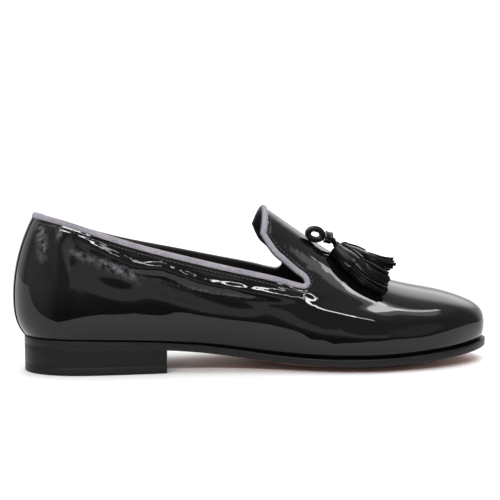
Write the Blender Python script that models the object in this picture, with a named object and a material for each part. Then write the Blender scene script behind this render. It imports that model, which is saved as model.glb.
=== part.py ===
"""Left tuxedo loafer: a lasted patent upper bound in grosgrain, with two leather tassels on the
vamp, an insole, one leather outsole and a heel of a block and a top lift.

X runs along the foot with the toe at +X, -Y is the inner (medial) side, +Z is up, and the floor
is z = 0.  Sizes and tables are in millimetres; x is counted from the back of the heel's curve.
"""
import math
from collections import namedtuple

import bmesh
import bpy
import numpy as np
from mathutils import Vector
from mathutils.bvhtree import BVHTree

MM = 0.001

# Middle of the shoe's box on the floor
ORIGIN = np.array((147.9, 2.6, 0.0))

# Walls and clearances
SEAM_GAP = 0.3
UPPER_WALL = 2.0
INSOLE_THICKNESS = 3.0
INSOLE_CLEARANCE = 0.6
SOLE_EDGE = 4.5
SOLE_EDGE_ROUND = 0.7
TOP_LIFT_THICKNESS = 5.0
HEEL_BREAST_X = 91.0
HEEL_SIDE_INSET = 0.3
HEEL_FOOT_INSET = 0.2
LIFT_EDGE_ROUND = 0.6
BINDING_WIDTH = 2.6
BINDING_THICKNESS = 0.8
BINDING_BEVEL = 0.45
BINDING_MITRE_LIMIT = 1.3
THROAT_RADII = {-1: 2.2, 1: 4.5}

# The sole from heel to toe: height of its upper face, and how far its middle bellies below its edge
Profile = namedtuple("Profile", "x top belly")
SOLE_PROFILE = [
    Profile(0.0, 21.6, 0.0),
    Profile(50.0, 20.6, 0.0),
    Profile(95.0, 18.2, 0.3),
    Profile(118.0, 15.6, 1.4),
    Profile(137.0, 12.9, 2.8),
    Profile(156.0, 10.4, 4.0),
    Profile(181.0, 8.6, 5.0),
    Profile(206.0, 8.4, 5.0),
    Profile(232.0, 8.9, 4.6),
    Profile(257.0, 10.2, 3.4),
    Profile(276.0, 11.6, 2.2),
    Profile(300.0, 14.2, 0.8),
]

# Stations of the last from the back of the heel to the tip of the toe, with the crown of each
# section.  Behind the instep the crown is the closed top of the last, above the collar.
Crown = namedtuple("Crown", "x y z")
CROWNS = {
    "back": Crown(40.0, 0.0, 122.0),
    "back_round": Crown(40.0, 0.0, 122.0),
    "heel_round": Crown(41.5, 0.0, 122.0),
    "heel_side": Crown(47.0, 0.0, 122.0),
    "heel_breast": Crown(70.0, 0.0, 121.0),
    "shank": Crown(100.0, 0.0, 118.0),
    "waist": Crown(130.0, 0.0, 111.0),
    "instep": Crown(156.0, -1.0, 97.0),
    "throat": Crown(175.3, -2.5, 83.5),
    "ball": Crown(206.5, -4.0, 63.6),
    "vamp": Crown(236.0, -4.0, 51.1),
    "toe_root": Crown(262.0, -3.0, 45.4),
    "toe_side": Crown(281.5, -2.0, 39.4),
    "toe_round": Crown(294.8, -1.0, 28.2),
    "toe_tip": Crown(293.6, 0.0, 13.8),
}
STATIONS = list(CROWNS)
LAST_STATION = len(STATIONS) - 1
THROAT = STATIONS.index("throat")
LOOP = 2 * LAST_STATION

# One rib of the last on each side at each station.  x and turn give the rib's foot on the spine and
# its heading (180 back, 90 sideways); feather is its reach at the sole, swell what the wall gains
# above it, rise the height of that swell as a share of the section; side and top are the
# fullness of the curve from there to the crown, margin the sole edge that stands out beside it.
Rib = namedtuple("Rib", "x turn feather swell rise side top margin")
MEDIAL_RIBS = {
    "back": Rib(40.0, 180.0, 33.1, 6.9, 0.235, 0.54, 0.30, 0.6),
    "back_round": Rib(40.0, 152.0, 32.0, 6.2, 0.230, 0.53, 0.36, 0.6),
    "heel_round": Rib(41.5, 124.0, 29.8, 5.4, 0.210, 0.50, 0.50, 0.7),
    "heel_side": Rib(47.0, 101.0, 28.8, 4.8, 0.190, 0.50, 0.56, 0.8),
    "heel_breast": Rib(70.0, 92.0, 28.5, 4.8, 0.185, 0.50, 0.56, 1.0),
    "shank": Rib(100.0, 90.0, 26.4, 6.2, 0.195, 0.50, 0.54, 1.2),
    "waist": Rib(130.0, 90.0, 26.0, 8.2, 0.215, 0.48, 0.50, 1.6),
    "instep": Rib(158.0, 90.0, 31.0, 7.2, 0.210, 0.41, 0.40, 2.2),
    "throat": Rib(175.3, 90.0, 36.4, 5.5, 0.192, 0.354, 0.353, 2.75),
    "ball": Rib(207.0, 90.0, 44.2, 2.8, 0.205, 0.36, 0.41, 3.0),
    "vamp": Rib(234.5, 90.0, 42.6, 2.2, 0.255, 0.44, 0.50, 3.0),
    "toe_root": Rib(258.0, 90.0, 36.0, 2.2, 0.310, 0.52, 0.55, 3.0),
    "toe_side": Rib(276.0, 90.0, 26.2, 2.0, 0.370, 0.55, 0.58, 3.0),
    "toe_round": Rib(288.5, 90.0, 14.2, 1.4, 0.320, 0.46, 0.49, 3.0),
    "toe_tip": Rib(293.6, 90.0, 0.0, 0.0, 0.080, 0.32, 0.36, 3.0),
}
LATERAL_RIBS = {
    "back_round": Rib(40.0, 152.0, 32.2, 6.2, 0.230, 0.53, 0.36, 0.6),
    "heel_round": Rib(41.5, 124.0, 30.6, 5.4, 0.210, 0.50, 0.50, 0.7),
    "heel_side": Rib(47.0, 101.0, 30.0, 4.6, 0.190, 0.50, 0.56, 0.8),
    "heel_breast": Rib(70.0, 92.0, 31.0, 4.2, 0.185, 0.50, 0.56, 1.0),
    "shank": Rib(98.0, 90.0, 32.6, 4.4, 0.195, 0.50, 0.54, 1.2),
    "waist": Rib(126.0, 90.0, 36.6, 4.6, 0.215, 0.48, 0.48, 1.8),
    "instep": Rib(151.0, 90.0, 42.6, 4.2, 0.200, 0.40, 0.38, 2.4),
    "throat": Rib(166.6, 90.0, 46.4, 3.7, 0.188, 0.35, 0.339, 2.73),
    "ball": Rib(200.0, 90.0, 50.2, 2.4, 0.205, 0.36, 0.42, 3.0),
    "vamp": Rib(230.5, 90.0, 47.2, 2.2, 0.255, 0.44, 0.50, 3.0),
    "toe_root": Rib(256.0, 90.0, 39.6, 2.2, 0.310, 0.52, 0.55, 3.0),
    "toe_side": Rib(275.5, 90.0, 28.8, 2.0, 0.370, 0.55, 0.58, 3.0),
    "toe_round": Rib(288.5, 90.0, 15.6, 1.4, 0.320, 0.46, 0.49, 3.0),
}

# Handles of a rib's curve below the swell: reach and height near the sole, height under the swell
TUCK_REACH = 0.8
TUCK_HEIGHT = 0.26
SWELL_DROP = 0.55

# Height of the collar's edge on both sides, from the back of the heel to the corner of the throat
Collar = namedtuple("Collar", "medial lateral")
COLLARS = {
    "back": Collar(95.8, 95.8),
    "back_round": Collar(95.6, 94.2),
    "heel_round": Collar(93.6, 90.0),
    "heel_side": Collar(89.0, 84.4),
    "heel_breast": Collar(79.9, 76.5),
    "shank": Collar(71.4, 69.9),
    "waist": Collar(64.0, 63.4),
    "instep": Collar(57.8, 58.0),
    "throat": Collar(52.7, 54.2),
}

# The tongue: the stations where its end lies at both sides and on the crown, and the height of the
# two corners there
TongueEnd = namedtuple("TongueEnd", "station height")
TONGUE_ENDS = {-1: TongueEnd(6.72, 76.6), 1: TongueEnd(6.83, 80.0)}
TONGUE_CROWN_STATION = 6.90
TONGUE_CORNER_ROUND = 0.09
TONGUE_CORNER_START = 0.68

# Back strip over the seam at the back of the heel
BACK_STRIP_HALF_WIDTH = 5.2
BACK_STRIP_THICKNESS = 0.5
BACK_STRIP_START = 0.08
BACK_STRIP_PROFILE = (
    (-1.0, 0.5), (-0.88, 1.0), (-0.45, 1.0), (0.0, 1.0), (0.45, 1.0), (0.88, 1.0), (1.0, 0.5))

# Tassel work on the vamp: a loop that stands on its inner slope, the keeper that gathers it, and two
# tassels.  The loop's slope is in degrees from the floor.
RING_X = 185.0
RING_Y = -10.6
RING_SLOPE = -15.0
RING_LENGTH = 12.0
RING_HEIGHT = 9.6
RING_HALF_THICKNESS = 1.55
RING_HALF_WIDTH = 1.6
RING_CLEARANCE = 0.4
KEEPER_LENGTH = 4.6
KEEPER_HALF_WIDTH = 4.0
KEEPER_HALF_HEIGHT = 3.9
KEEPER_GIRTHS = ((0.0, 0.86), (0.12, 1.0), (0.88, 1.0), (1.0, 0.86))
CORD_RADIUS = 1.45
CORD_END_ALONG = 1.6
TASSEL_HEAD_LENGTH = 18.0
STRIP_WIDTH = 2.8
STRIP_THICKNESS = 1.2
STRIP_COUNT = 13
STRIP_SHARE = 0.86
STRIP_ROOT = 4.0
STRIP_RAGGED = 1.0
CORE_SHARE = 0.58
CORE_SHORTER = 3.0

# Each tassel: route of its middle over the vamp in plan, its whole length, height of its underside over
# the vamp, what that height gains at the tips, whether it follows the vamp sideways, and where its cord
# leaves the keeper and meets the head, sideways
Tassel = namedtuple("Tassel", "route length lift rise draped cord_start cord_end")
TASSELS = {
    "tassel_medial": Tassel(((195, -10.5), (208, -20.5), (228, -25)), 40.5, 0.7, 0.0, True, -1.7, 2.6),
    "tassel_lateral": Tassel(((199.5, 0.5), (216, 3.5), (238, 7)), 38.0, 1.0, 4.2, False, 1.7, -1.0),
}

# Half width and half height of a tassel at distances along it: first its rolled head, then its strips
Girth = namedtuple("Girth", "far half_width half_height")
TASSEL_GIRTHS = [
    Girth(0.0, 2.4, 2.2),
    Girth(1.0, 5.0, 3.8),
    Girth(3.0, 6.6, 4.6),
    Girth(9.0, 9.0, 5.2),
    Girth(18.0, 10.8, 5.3),
    Girth(28.0, 12.0, 4.8),
    Girth(42.0, 12.8, 4.0),
]

# Mesh steps
RIB_STEPS_LOW = 4
RIB_STEPS_SIDE = 6
RIB_STEPS_TOP = 5
QUARTER_STEPS = 3
VAMP_STEPS = 3
TONGUE_STEPS = 7
THROAT_SHARES = (0.02, 0.05, 0.10)
RING_SECTIONS = 20
CORD_SIDES = 8
HEAD_SIDES = 12
STRIP_STEPS = 4
CORE_STEPS = 3
SPINE_STEPS = 30
BACK_STRIP_STEPS = 12
INSOLE_ROWS = 26
INSOLE_COLUMNS = 6
SOLE_ROWS = 36
SOLE_COLUMNS = 10
HEEL_ROWS = 12
HEEL_COLUMNS = 6
NEIGHBOUR = 0.02
SPINE_LOOK = 3.0
SHARP_ANGLE = math.radians(40.0)

# Colours: linear red, green, blue, then roughness
FINISHES = {
    "upper": ((0.008, 0.008, 0.009), 0.08),
    "topline_binding": ((0.50, 0.47, 0.52), 0.70),
    "insole": ((0.012, 0.010, 0.010), 0.60),
    "outsole": ((0.020, 0.020, 0.021), 0.38),
    "heel_block": ((0.017, 0.017, 0.018), 0.40),
    "top_lift": ((0.012, 0.012, 0.013), 0.55),
    "back_strip": ((0.008, 0.008, 0.009), 0.08),
    "tassel_ring": ((0.010, 0.010, 0.011), 0.30),
    "tassel_keeper": ((0.010, 0.010, 0.011), 0.25),
    "tassel_medial": ((0.010, 0.010, 0.011), 0.28),
    "tassel_lateral": ((0.010, 0.010, 0.011), 0.28),
}


def natural_spline(knots, rows):
    """Smooth curve through rows of values at the given knots, as a function of the knot value."""
    t = np.asarray(knots, float)
    p = np.asarray(rows, float)
    gap = np.diff(t)
    count = len(t)
    system = np.eye(count)
    right = np.zeros_like(p)
    for k in range(1, count - 1):
        system[k, k - 1:k + 2] = (gap[k - 1], 2 * (gap[k - 1] + gap[k]), gap[k])
        right[k] = 6 * ((p[k + 1] - p[k]) / gap[k] - (p[k] - p[k - 1]) / gap[k - 1])
    bend = np.linalg.solve(system, right)

    def at(value):
        k = int(np.clip(np.searchsorted(t, value) - 1, 0, count - 2))
        h = gap[k]
        before = t[k + 1] - value
        after = value - t[k]
        return ((bend[k] * before ** 3 + bend[k + 1] * after ** 3) / (6 * h)
                + (p[k] / h - bend[k] * h / 6) * before
                + (p[k + 1] / h - bend[k + 1] * h / 6) * after)

    return at


def bezier(p0, p1, p2, p3, t):
    """Point of a cubic curve with two end points and two handles."""
    s = 1.0 - t
    return p0 * s ** 3 + 3 * p1 * s * s * t + 3 * p2 * s * t * t + p3 * t ** 3


sole_line = natural_spline([row.x for row in SOLE_PROFILE],
                           [(row.top, row.belly) for row in SOLE_PROFILE])


def sole_top(x):
    """Height of the outsole's upper face."""
    return sole_line(x)[0]


def loop_rows():
    """Rows of the last round the whole shoe: medial side to the toe, then back along the lateral side."""
    order = [(name, MEDIAL_RIBS[name], -1.0) for name in STATIONS]
    order += [(name, LATERAL_RIBS[name], 1.0) for name in reversed(STATIONS[1:-1])]
    rows = []
    for name, rib, side in order:
        crown = CROWNS[name]
        heading = math.radians(rib.turn)
        foot_x = rib.x + rib.feather * math.cos(heading)
        foot_y = side * rib.feather * math.sin(heading)
        spine = rib.x
        rows.append((foot_x, foot_y, spine, rib.swell, rib.rise, rib.side, rib.top, rib.margin, *crown))
    return rows


def closed_spline(rows, wrap=5):
    """Smooth closed curve through rows, one row for each whole number of the loop."""
    count = len(rows)
    knots = range(-wrap, count + wrap + 1)
    return natural_spline(knots, [rows[k % count] for k in knots])


LoopPoint = namedtuple("LoopPoint", "foot_x foot_y spine swell rise side top margin crown_x crown_y crown_z")
loop_line = closed_spline(loop_rows())


def loop_at(w):
    """Values of the last at loop place w: 0 back of the heel, up to the toe tip, then LOOP again."""
    return LoopPoint(*loop_line(w % LOOP))


def place(side, station):
    """Loop place of a station on the medial (-1) or lateral (+1) side."""
    return station if side < 0 else LOOP - station


def rib_point(w, v):
    """Point on the outside of the upper.

    v runs from 0 at the sole's edge to 1 at the swell of the wall and 2 at the crown.
    """
    here = loop_at(w)
    base_z = sole_top(here.foot_x) + SEAM_GAP
    reach = np.array((here.foot_x - here.spine, here.foot_y, 0.0))
    length = max(float(np.linalg.norm(reach)), 1e-6)
    full = 1.0 + here.swell / length
    swell = np.array((full, here.rise))
    if v <= 1.0:
        step = full - 1.0
        tuck = np.array((1.0 + TUCK_REACH * step, TUCK_HEIGHT * here.rise))
        out, up = bezier(np.array((1.0, 0.0)), tuck, np.array((full, SWELL_DROP * here.rise)), swell, v)
    else:
        above = here.rise + here.side * (1.0 - here.rise)
        out, up = bezier(swell, np.array((full, above)), np.array((here.top * full, 1.0)),
                         np.array((0.0, 1.0)), v - 1.0)
    foot = np.array((here.spine, 0.0, base_z))
    crown = np.array((here.crown_x, here.crown_y, here.crown_z))
    return foot + reach * out + (crown - foot) * up


def height_place(w, z, low=1.0, high=2.0, halvings=40):
    """Place v on the rib at w where the wall reaches height z."""
    for _ in range(halvings):
        middle = 0.5 * (low + high)
        if rib_point(w, middle)[2] < z:
            low = middle
        else:
            high = middle
    return 0.5 * (low + high)


collar_line = natural_spline(
    range(-THROAT, THROAT + 1),
    [COLLARS[name].lateral for name in reversed(STATIONS[1:THROAT + 1])]
    + [COLLARS[name].medial for name in STATIONS[:THROAT + 1]])


def throat_round(side, distance):
    """Rise from the lowest point of the throat's round end, at a distance in mm back from the end."""
    ahead = 1.0 - min(1.0, distance / THROAT_RADII[side])
    return THROAT_RADII[side] * math.sqrt(1.0 - ahead * ahead)


def collar_place(w):
    """Place v of the collar's edge; w runs from -THROAT, lateral, to THROAT, medial."""
    corner = rib_point(math.copysign(THROAT, w), 1.0)[0]
    distance = abs(corner - rib_point(w, 1.0)[0])
    side = 1 if w < 0 else -1
    return height_place(w, float(collar_line(w)) + THROAT_RADII[side] - throat_round(side, distance))


def tongue_edge_place(side, share):
    """Place v of the tongue's side edge; share runs from 0 at the throat to 1 at its top corner."""
    end = TONGUE_ENDS[side]
    station = THROAT - share * (THROAT - end.station)
    low_z = float(collar_line(-side * THROAT)) + THROAT_RADII[side]
    back = abs(rib_point(place(side, station), 1.0)[0] - rib_point(place(side, THROAT), 1.0)[0])
    z = low_z + (end.height - THROAT_RADII[side] - low_z) * share + throat_round(side, back)
    corner = max(0.0, (share - TONGUE_CORNER_START) / (1.0 - TONGUE_CORNER_START))
    return height_place(place(side, station), z) + TONGUE_CORNER_ROUND * corner * corner


def tongue_station(side, v, edge, share):
    """Station of a point of the tongue between its edge and the crown, at a share of its length."""
    outward = (2.0 - v) / (2.0 - edge)
    end = TONGUE_CROWN_STATION + (TONGUE_ENDS[side].station - TONGUE_CROWN_STATION) * outward * outward
    return THROAT - share * (THROAT - end)


def spaced(start, end, steps):
    """Evenly spaced values with both ends."""
    return [start + (end - start) * k / steps for k in range(steps + 1)]


def throat_spaced(start, end, steps):
    """Values from start to end with extra ones close to the end, for the round of the throat."""
    near = [end - share for share in reversed(THROAT_SHARES)]
    values = spaced(start, end, steps)
    return values[:-1] + near + [values[-1]]


class Sheet:
    """A surface being put together from shared points and faces."""

    def __init__(self):
        self.points = []
        self.faces = []

    def add(self, point):
        self.points.append(np.asarray(point, float))
        return len(self.points) - 1

    def quads(self, rows):
        """Faces between neighbouring rows of point numbers of equal length."""
        for first, second in zip(rows, rows[1:]):
            for k in range(len(first) - 1):
                corners = [first[k], second[k], second[k + 1], first[k + 1]]
                unique = list(dict.fromkeys(corners))
                if len(unique) > 2:
                    self.faces.append(unique)

    def normals(self):
        """Unit normals at the points, averaged over the faces round them."""
        total = np.zeros((len(self.points), 3))
        for face in self.faces:
            corners = [self.points[k] for k in face]
            across = np.cross(corners[2] - corners[0], corners[-1] - corners[1])
            for k in face:
                total[k] += across
        return total / np.linalg.norm(total, axis=1)[:, None]


def upper_sheet():
    """The outside of the upper: quarters round the heel, vamp to the toe, and tongue."""
    sheet = Sheet()

    def rib(w, edge):
        low = [sheet.add(rib_point(w, v)) for v in spaced(0.0, 1.0, RIB_STEPS_LOW)]
        side = [sheet.add(rib_point(w, v)) for v in spaced(1.0, edge, RIB_STEPS_SIDE)[1:]]
        return low + side

    medial_half = throat_spaced(0.0, THROAT, THROAT * QUARTER_STEPS)
    loop_places = [-w for w in reversed(medial_half[1:])] + medial_half
    quarter = [rib(w, collar_place(w)) for w in loop_places]
    sheet.quads(quarter)

    def over(edges, station):
        """Points over the crown between the medial and lateral edges, without the edges."""
        left = [(-1, v) for v in spaced(edges[-1], 2.0, RIB_STEPS_TOP)[1:]]
        right = [(1, v) for v in spaced(2.0, edges[1], RIB_STEPS_TOP)[1:-1]]
        return [sheet.add(rib_point(place(side, station(side, v)), v)) for side, v in left + right]

    corners = {side: collar_place(-side * THROAT) for side in (-1, 1)}
    first = quarter[-1] + over(corners, lambda side, v: THROAT) + quarter[0][::-1]
    vamp_rows = [first]
    for station in spaced(THROAT, LAST_STATION, (LAST_STATION - THROAT) * VAMP_STEPS)[1:-1]:
        medial = rib(place(-1, station), corners[-1])
        lateral = rib(place(1, station), corners[1])
        middle = over(corners, lambda side, v: station)
        vamp_rows.append(medial + middle + lateral[::-1])
    tip = sheet.add(rib_point(LAST_STATION, 0.0))
    vamp_rows.append([tip] * len(first))
    sheet.quads(vamp_rows)

    corner_at = len(quarter[-1]) - 1
    tongue_rows = [first[corner_at:corner_at + 2 * RIB_STEPS_TOP + 1]]
    for share in sorted([*THROAT_SHARES, *spaced(0.0, 1.0, TONGUE_STEPS)[1:]]):
        edges = {side: tongue_edge_place(side, share) for side in (-1, 1)}

        def station(side, v):
            return tongue_station(side, v, edges[side], share)

        ends = {side: place(side, station(side, edges[side])) for side in (-1, 1)}
        medial, lateral = [sheet.add(rib_point(ends[side], edges[side])) for side in (-1, 1)]
        tongue_rows.append([medial, *over(edges, station), lateral])
    sheet.quads([row[::-1] for row in tongue_rows])

    collar = [row[-1] for row in quarter]
    medial_edge = [row[0] for row in tongue_rows[1:]]
    lateral_edge = [row[-1] for row in tongue_rows[1:]]
    topline = collar + medial_edge + tongue_rows[-1][1:-1] + lateral_edge[::-1]
    return sheet, topline


def make_object(name, points, faces):
    """A named solid from points in millimetres, shaded smooth, with its finish."""
    mesh = bpy.data.meshes.new(name)
    mesh.from_pydata([tuple((p - ORIGIN) * MM) for p in points], [], faces)
    outward = bmesh.new()
    outward.from_mesh(mesh)
    bmesh.ops.recalc_face_normals(outward, faces=outward.faces)
    outward.to_mesh(mesh)
    outward.free()
    mesh.shade_smooth()
    mesh.set_sharp_from_angle(angle=SHARP_ANGLE)
    solid = bpy.data.objects.new(name, mesh)
    bpy.context.scene.collection.objects.link(solid)
    if name in FINISHES:
        solid.data.materials.append(finish(name))
    return solid


def finish(name):
    """The principled material of a piece."""
    colour, roughness = FINISHES[name]
    material = bpy.data.materials.new(name)
    material.use_nodes = True
    shader = material.node_tree.nodes["Principled BSDF"]
    shader.inputs["Base Color"].default_value = (*colour, 1.0)
    shader.inputs["Roughness"].default_value = roughness
    shader.inputs["Metallic"].default_value = 0.0
    return material


def wall_from_sheet(sheet, thickness):
    """Points and faces of a closed wall whose outside is the sheet."""
    inner_shift = len(sheet.points)
    normals = sheet.normals()
    points = sheet.points + [p - n * thickness for p, n in zip(sheet.points, normals)]
    faces = list(sheet.faces)
    faces += [[k + inner_shift for k in reversed(face)] for face in sheet.faces]
    edges = {}
    for face in sheet.faces:
        for k, start in enumerate(face):
            edges[(start, face[(k + 1) % len(face)])] = True
    for start, end in edges:
        if (end, start) not in edges:
            faces.append([end, start, start + inner_shift, end + inner_shift])
    return points, faces


def ring_sweep(sections):
    """Points and faces of a closed ring through sections with the same number of points."""
    count = len(sections[0])
    points = [p for section in sections for p in section]
    faces = []
    for k in range(len(sections)):
        here = k * count
        there = ((k + 1) % len(sections)) * count
        for j in range(count):
            after = (j + 1) % count
            faces.append([here + j, here + after, there + after, there + j])
    return points, faces


def tube_sweep(sections):
    """Points and faces of a closed bar through sections, capped at both ends."""
    points, faces = ring_sweep(sections)
    count = len(sections[0])
    faces = faces[:-count]
    last = (len(sections) - 1) * count
    faces.append(list(range(count - 1, -1, -1)))
    faces.append(list(range(last, last + count)))
    return points, faces


def unit(vector):
    """Vector of length one."""
    return vector / np.linalg.norm(vector)


def build_binding(sheet, topline):
    """Ribbon folded over the edge of the upper: an outer flange and a fold over the wall's edge."""
    normals = sheet.normals()
    edge = [sheet.points[k] for k in topline]
    out = [normals[k] for k in topline]
    near = SEAM_GAP
    far = SEAM_GAP + BINDING_THICKNESS
    sections = []
    for k, point in enumerate(edge):
        before = unit(point - edge[k - 1])
        after = unit(edge[(k + 1) % len(edge)] - point)
        along = unit(before + after)
        mitre = 1.0 / max(1.0 / BINDING_MITRE_LIMIT, float(np.dot(along, after)))
        down = unit(np.cross(along, out[k])) * mitre
        sections.append([
            point + out[k] * near + down * BINDING_WIDTH,
            point + out[k] * near - down * near,
            point - out[k] * UPPER_WALL - down * near,
            point - out[k] * UPPER_WALL - down * far,
            point + out[k] * (far - BINDING_BEVEL) - down * far,
            point + out[k] * far - down * (far - BINDING_BEVEL),
            point + out[k] * far + down * BINDING_WIDTH,
        ])
    points, faces = ring_sweep(sections)
    return make_object("topline_binding", points, [face[::-1] for face in faces])


def outline_point(w, margin_share, inset):
    """Plan point of a sole outline: the upper's feather plus a share of its margin, less an inset."""
    ahead = loop_at(w + NEIGHBOUR)
    behind = loop_at(w - NEIGHBOUR)
    here = loop_at(w)
    along = unit(np.array((ahead.foot_x - behind.foot_x, ahead.foot_y - behind.foot_y)))
    outward = np.array((along[1], -along[0]))
    return np.array((here.foot_x, here.foot_y)) + outward * (margin_share * here.margin - inset)


def outline_station(side, x, margin_share, inset, halvings=40):
    """Station on one side, between heel and toe, where the outline passes the given x."""
    low = float(STATIONS.index("heel_round"))
    high = float(STATIONS.index("vamp"))
    for _ in range(halvings):
        middle = 0.5 * (low + high)
        if outline_point(place(side, middle), margin_share, inset)[0] < x:
            low = middle
        else:
            high = middle
    return 0.5 * (low + high)


def slab(name, rings, margin_share, steps, across, front_x=None):
    """A flat piece with the outline of the last.

    Each ring is an inset of the outline with the height function of that ring; the first ring also
    carries the upper face and the last ring the lower face, filled across in rows of points.
    front_x cuts the piece square at the front; without it the piece runs to the toe.
    """
    sheet = Sheet()
    loops = []
    square = front_x is not None
    for ring in rings:
        filled = ring in (rings[0], rings[-1])
        inset, height = ring
        ends = {-1: LAST_STATION, 1: LAST_STATION}
        if square:
            ends = {side: outline_station(side, front_x, margin_share, inset) for side in (-1, 1)}
        rows = []
        for k in range(steps + 1):
            sides = [outline_point(place(side, ends[side] * k / steps), margin_share, inset)
                     for side in (-1, 1)]
            columns = spaced(-1.0, 1.0, across) if filled else (-1.0, 1.0)
            if k == steps and square:
                columns = spaced(-1.0, 1.0, across)
                for point in sides:
                    point[0] = front_x - inset
            elif k in (0, steps):
                columns = (0.0,)
            row = []
            for c in columns:
                plan = 0.5 * (sides[0] * (1.0 - c) + sides[1] * (1.0 + c))
                row.append(sheet.add((*plan, height(plan[0], c))))
            rows.append(row)
        if filled:
            full = [row if len(row) > 1 else row * (across + 1) for row in rows]
            sheet.quads(full if ring is rings[0] else [row[::-1] for row in full])
        medial = [row[0] for row in rows[:-1]]
        lateral = [row[-1] for row in rows[1:-1]]
        loops.append(medial + rows[-1] + lateral[::-1] + medial[:1])
    for above, below in zip(loops, loops[1:]):
        sheet.quads([below, above])
    return make_object(name, sheet.points, sheet.faces)


def sole_underside(x, c):
    """Height of the outsole's lower face at share c of its half width, flat where it meets the floor."""
    top, belly = sole_line(x)
    return max(0.0, top - SOLE_EDGE - belly * (1.0 - c * c))


def build_bottom():
    """Insole, outsole, heel block and top lift."""
    slab("insole", [
        (UPPER_WALL + INSOLE_CLEARANCE, lambda x, c: sole_top(x) + SEAM_GAP + INSOLE_THICKNESS),
        (UPPER_WALL + INSOLE_CLEARANCE, lambda x, c: sole_top(x) + SEAM_GAP),
    ], 0.0, INSOLE_ROWS, INSOLE_COLUMNS)
    slab("outsole", [
        (SOLE_EDGE_ROUND, lambda x, c: sole_top(x)),
        (0.0, lambda x, c: sole_top(x) - SOLE_EDGE_ROUND),
        (0.0, lambda x, c: sole_top(x) - SOLE_EDGE + SOLE_EDGE_ROUND),
        (SOLE_EDGE_ROUND, sole_underside),
    ], 1.0, SOLE_ROWS, SOLE_COLUMNS)
    lift_top = TOP_LIFT_THICKNESS
    slab("heel_block", [
        (HEEL_SIDE_INSET, lambda x, c: sole_underside(x, c) - SEAM_GAP),
        (HEEL_FOOT_INSET, lambda x, c: lift_top + SEAM_GAP),
    ], 1.0, HEEL_ROWS, HEEL_COLUMNS, HEEL_BREAST_X)
    slab("top_lift", [
        (HEEL_FOOT_INSET, lambda x, c: lift_top),
        (HEEL_FOOT_INSET, lambda x, c: LIFT_EDGE_ROUND),
        (HEEL_FOOT_INSET + LIFT_EDGE_ROUND, lambda x, c: 0.0),
    ], 1.0, HEEL_ROWS, HEEL_COLUMNS, HEEL_BREAST_X)


def build_back_strip():
    """Strip over the back seam, from under the ribbon to the sole, a seam's gap off the upper."""
    top = height_place(0.0, float(collar_line(0.0)) - BINDING_WIDTH - 2.0 * SEAM_GAP)
    sections = []
    for v in spaced(BACK_STRIP_START, top, BACK_STRIP_STEPS):
        per_station = 0.5 * np.linalg.norm(rib_point(1.0, v) - rib_point(-1.0, v))
        upward = unit(rib_point(0.0, v + NEIGHBOUR) - rib_point(0.0, v - NEIGHBOUR))
        outer = []
        inner = []
        for across, height in BACK_STRIP_PROFILE:
            w = across * BACK_STRIP_HALF_WIDTH / per_station
            point = rib_point(w, v)
            beside = unit(rib_point(w + NEIGHBOUR, v) - rib_point(w - NEIGHBOUR, v))
            out = unit(np.cross(beside, upward))
            outer.append(point + out * (SEAM_GAP + height * BACK_STRIP_THICKNESS))
            inner.append(point + out * SEAM_GAP)
        sections.append(outer + inner[::-1])
    points, faces = tube_sweep(sections)
    return make_object("back_strip", points, faces)


class VampSeat:
    """Finds where things lie on the outside of the upper."""

    def __init__(self, sheet):
        triangles = []
        for face in sheet.faces:
            for k in range(1, len(face) - 1):
                triangles.append((face[0], face[k], face[k + 1]))
        self.tree = BVHTree.FromPolygons([tuple(p) for p in sheet.points], triangles)
        self.above = max(p[2] for p in sheet.points) + 1.0

    def under(self, x, y):
        """Point of the surface straight below a place in plan, and the normal there."""
        spot, normal, _, _ = self.tree.ray_cast(Vector((x, y, self.above)), Vector((0.0, 0.0, -1.0)))
        return np.array(spot), np.array(normal)

    def nearest(self, point):
        """Nearest point of the surface."""
        return np.array(self.tree.find_nearest(Vector(point))[0])


girth_at = natural_spline([row.far for row in TASSEL_GIRTHS],
                          [(row.half_width, row.half_height) for row in TASSEL_GIRTHS])


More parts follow.
